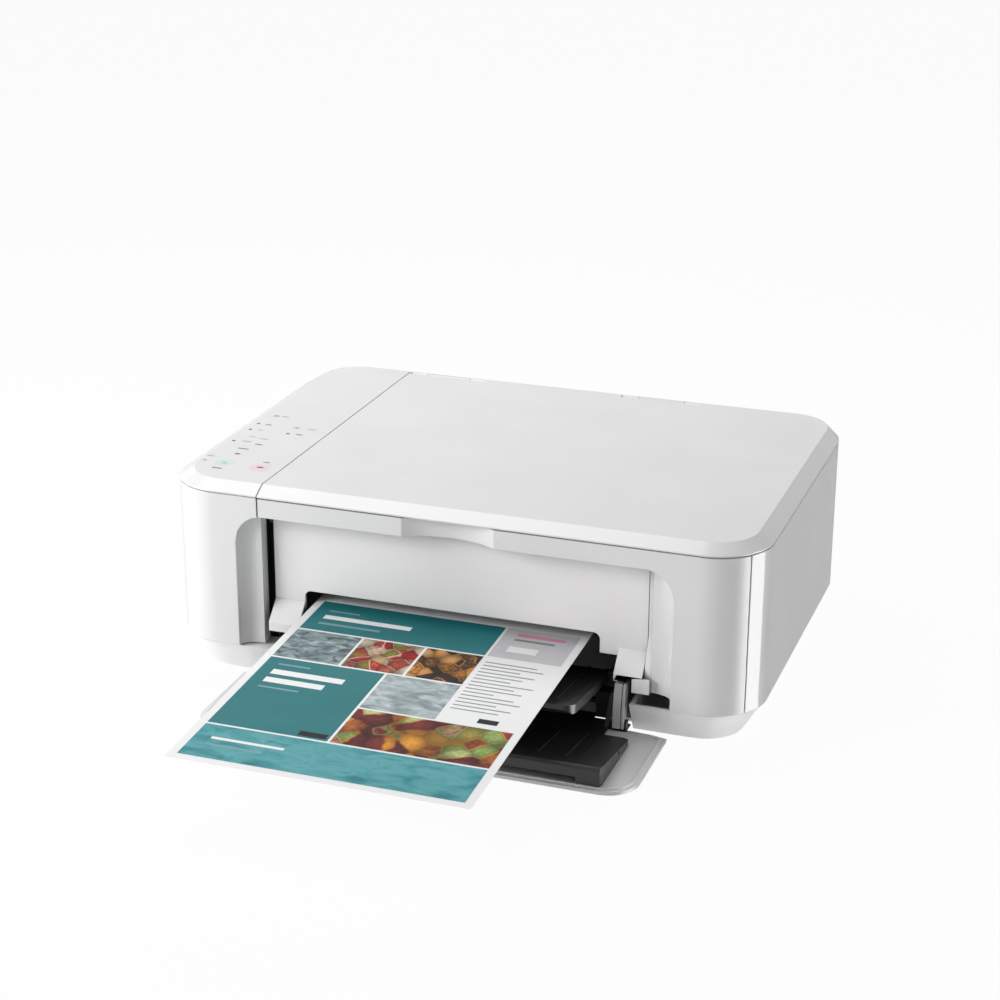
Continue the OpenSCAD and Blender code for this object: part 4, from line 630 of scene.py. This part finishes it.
def addLamp(name, place, aim, size, watts):
    # It lights the colour only; what gloss mirrors comes from the cards
    data = bpy.data.lights.new(name, "AREA")
    data.shape = "SQUARE"
    data.size = size
    data.energy = watts
    data.specular_factor = 0.0
    item = bpy.data.objects.new(name, data)
    item.location = place
    item.rotation_euler = (Vector(aim) - Vector(place)).to_track_quat("-Z", "Y").to_euler()
    bpy.context.scene.collection.objects.link(item)


def rayIs(tree, *kinds):
    # 1 where the ray is of one of these kinds
    path = addNode(tree, "LightPath")
    value = path.outputs[kinds[0]]
    for kind in kinds[1:]:
        either = addNode(tree, "Math", {"operation": "MAXIMUM"}, i0=value, i1=path.outputs[kind])
        value = either.outputs["Value"]
    return value


studio = {
    "fill": 0.32,  # even light from all round
    # what glossy plastic mirrors: direction in degrees from the right-hand side, and its brightness
    "cards": ((-180, 1.2), (-150, 1.6), (-110, 1.0), (-60, 0.15), (-28, 0.2), (-8, 8.4), (22, 8.4),
              (38, 0.3), (70, 0.3), (105, 0.7), (140, 0.7), (180, 1.0)),
    # the same cards by height, as the sine of the angle above the horizon: times this much
    "heights": ((-1.0, 1.0), (-0.02, 1.0), (0.05, 0.6), (0.2, 0.9), (0.28, 2.0), (0.31, 2.0),
                (0.36, 0.8), (0.5, 0.7), (1.0, 0.7)),
}


def levelCurve(tree, value, points):
    # A curve through (value, level) points, joined by straight lines
    low, high = points[0][0], points[-1][0]
    place = addNode(tree, "MapRange", Value=value, From_Min=low, From_Max=high)
    ring = addNode(tree, "FloatCurve", Value=place.outputs["Result"])
    curve = ring.mapping.curves[0]
    top = max(level for _, level in points)
    while len(curve.points) < len(points):
        curve.points.new(0.5, 0.5)
    for point, (at, level) in zip(curve.points, points):
        point.location = ((at - low) / (high - low), level / top)
        point.handle_type = "VECTOR"
    ring.mapping.update()
    return addNode(tree, "Math", {"operation": "MULTIPLY"}, i0=ring.outputs["Value"], i1=top).outputs["Value"]


def addWorld(fill, cards, heights):
    world = bpy.data.worlds.new("studio")
    bpy.context.scene.world = world
    world.use_nodes = True
    tree = world.node_tree
    way = addNode(tree, "SeparateXYZ", Vector=addNode(tree, "TexCoord").outputs["Generated"])
    turn = addNode(tree, "Math", {"operation": "ARCTAN2"}, i0=way.outputs["Y"], i1=way.outputs["X"])
    around = levelCurve(tree, turn.outputs["Value"], [(math.radians(angle), level) for angle, level in cards])
    upward = levelCurve(tree, way.outputs["Z"], heights)
    mirrored = addNode(tree, "Math", {"operation": "MULTIPLY"}, i0=around, i1=upward)
    lit = addNode(tree, "Mix", {"data_type": "FLOAT"}, i0=rayIs(tree, "Is Glossy Ray"), i2=fill,
                  i3=mirrored.outputs["Value"])
    seen = rayIs(tree, "Is Camera Ray", "Is Transmission Ray")
    level = addNode(tree, "Mix", {"data_type": "FLOAT"}, i0=seen, i2=lit.outputs[0], i3=1.0)
    background = tree.nodes["Background"]
    background.inputs["Color"].default_value = (1, 1, 1, 1)
    tree.links.new(level.outputs[0], background.inputs["Strength"])


# half its width in m, its colour, how much of the object's shadow shows, and its own glow
table = {"half": 12.0, "tone": "#F4F4F4", "shade": 0.05, "glow": 0.36}


def addFloor(half, tone, shade, glow):
    bm = bmesh.new()
    bmesh.ops.create_grid(bm, x_segments=1, y_segments=1, size=half)
    mesh = bpy.data.meshes.new("floor")
    bm.to_mesh(mesh)
    bm.free()
    floor = bpy.data.objects.new("floor", mesh)
    floor.visible_glossy = False
    bpy.context.scene.collection.objects.link(floor)
    material, tree, surface = startMaterial("paperSweep")
    surface.inputs["Base Color"].default_value = toLinear(tone)
    surface.inputs["Roughness"].default_value = 0.9
    surface.inputs["Specular IOR Level"].default_value = 0.0
    light = addNode(tree, "Emission", Strength=1.0, Color=(1, 1, 1, 1))
    seen = rayIs(tree, "Is Camera Ray", "Is Transmission Ray")
    share = addNode(tree, "MapRange", Value=seen, To_Min=glow, To_Max=1 - shade)
    both = addNode(tree, "MixShader", i0=share.outputs["Result"], i1=surface.outputs["BSDF"],
                   i2=light.outputs["Emission"])
    tree.links.new(both.outputs["Shader"], tree.nodes["Material Output"].inputs["Surface"])
    mesh.materials.append(material)


addCamera(**view)
for name, settings in lamps.items():
    addLamp(name, *settings)
addWorld(**studio)
addFloor(**table)
bpy.context.scene.view_settings.view_transform = "Standard"
print("camera, light and floor placed")
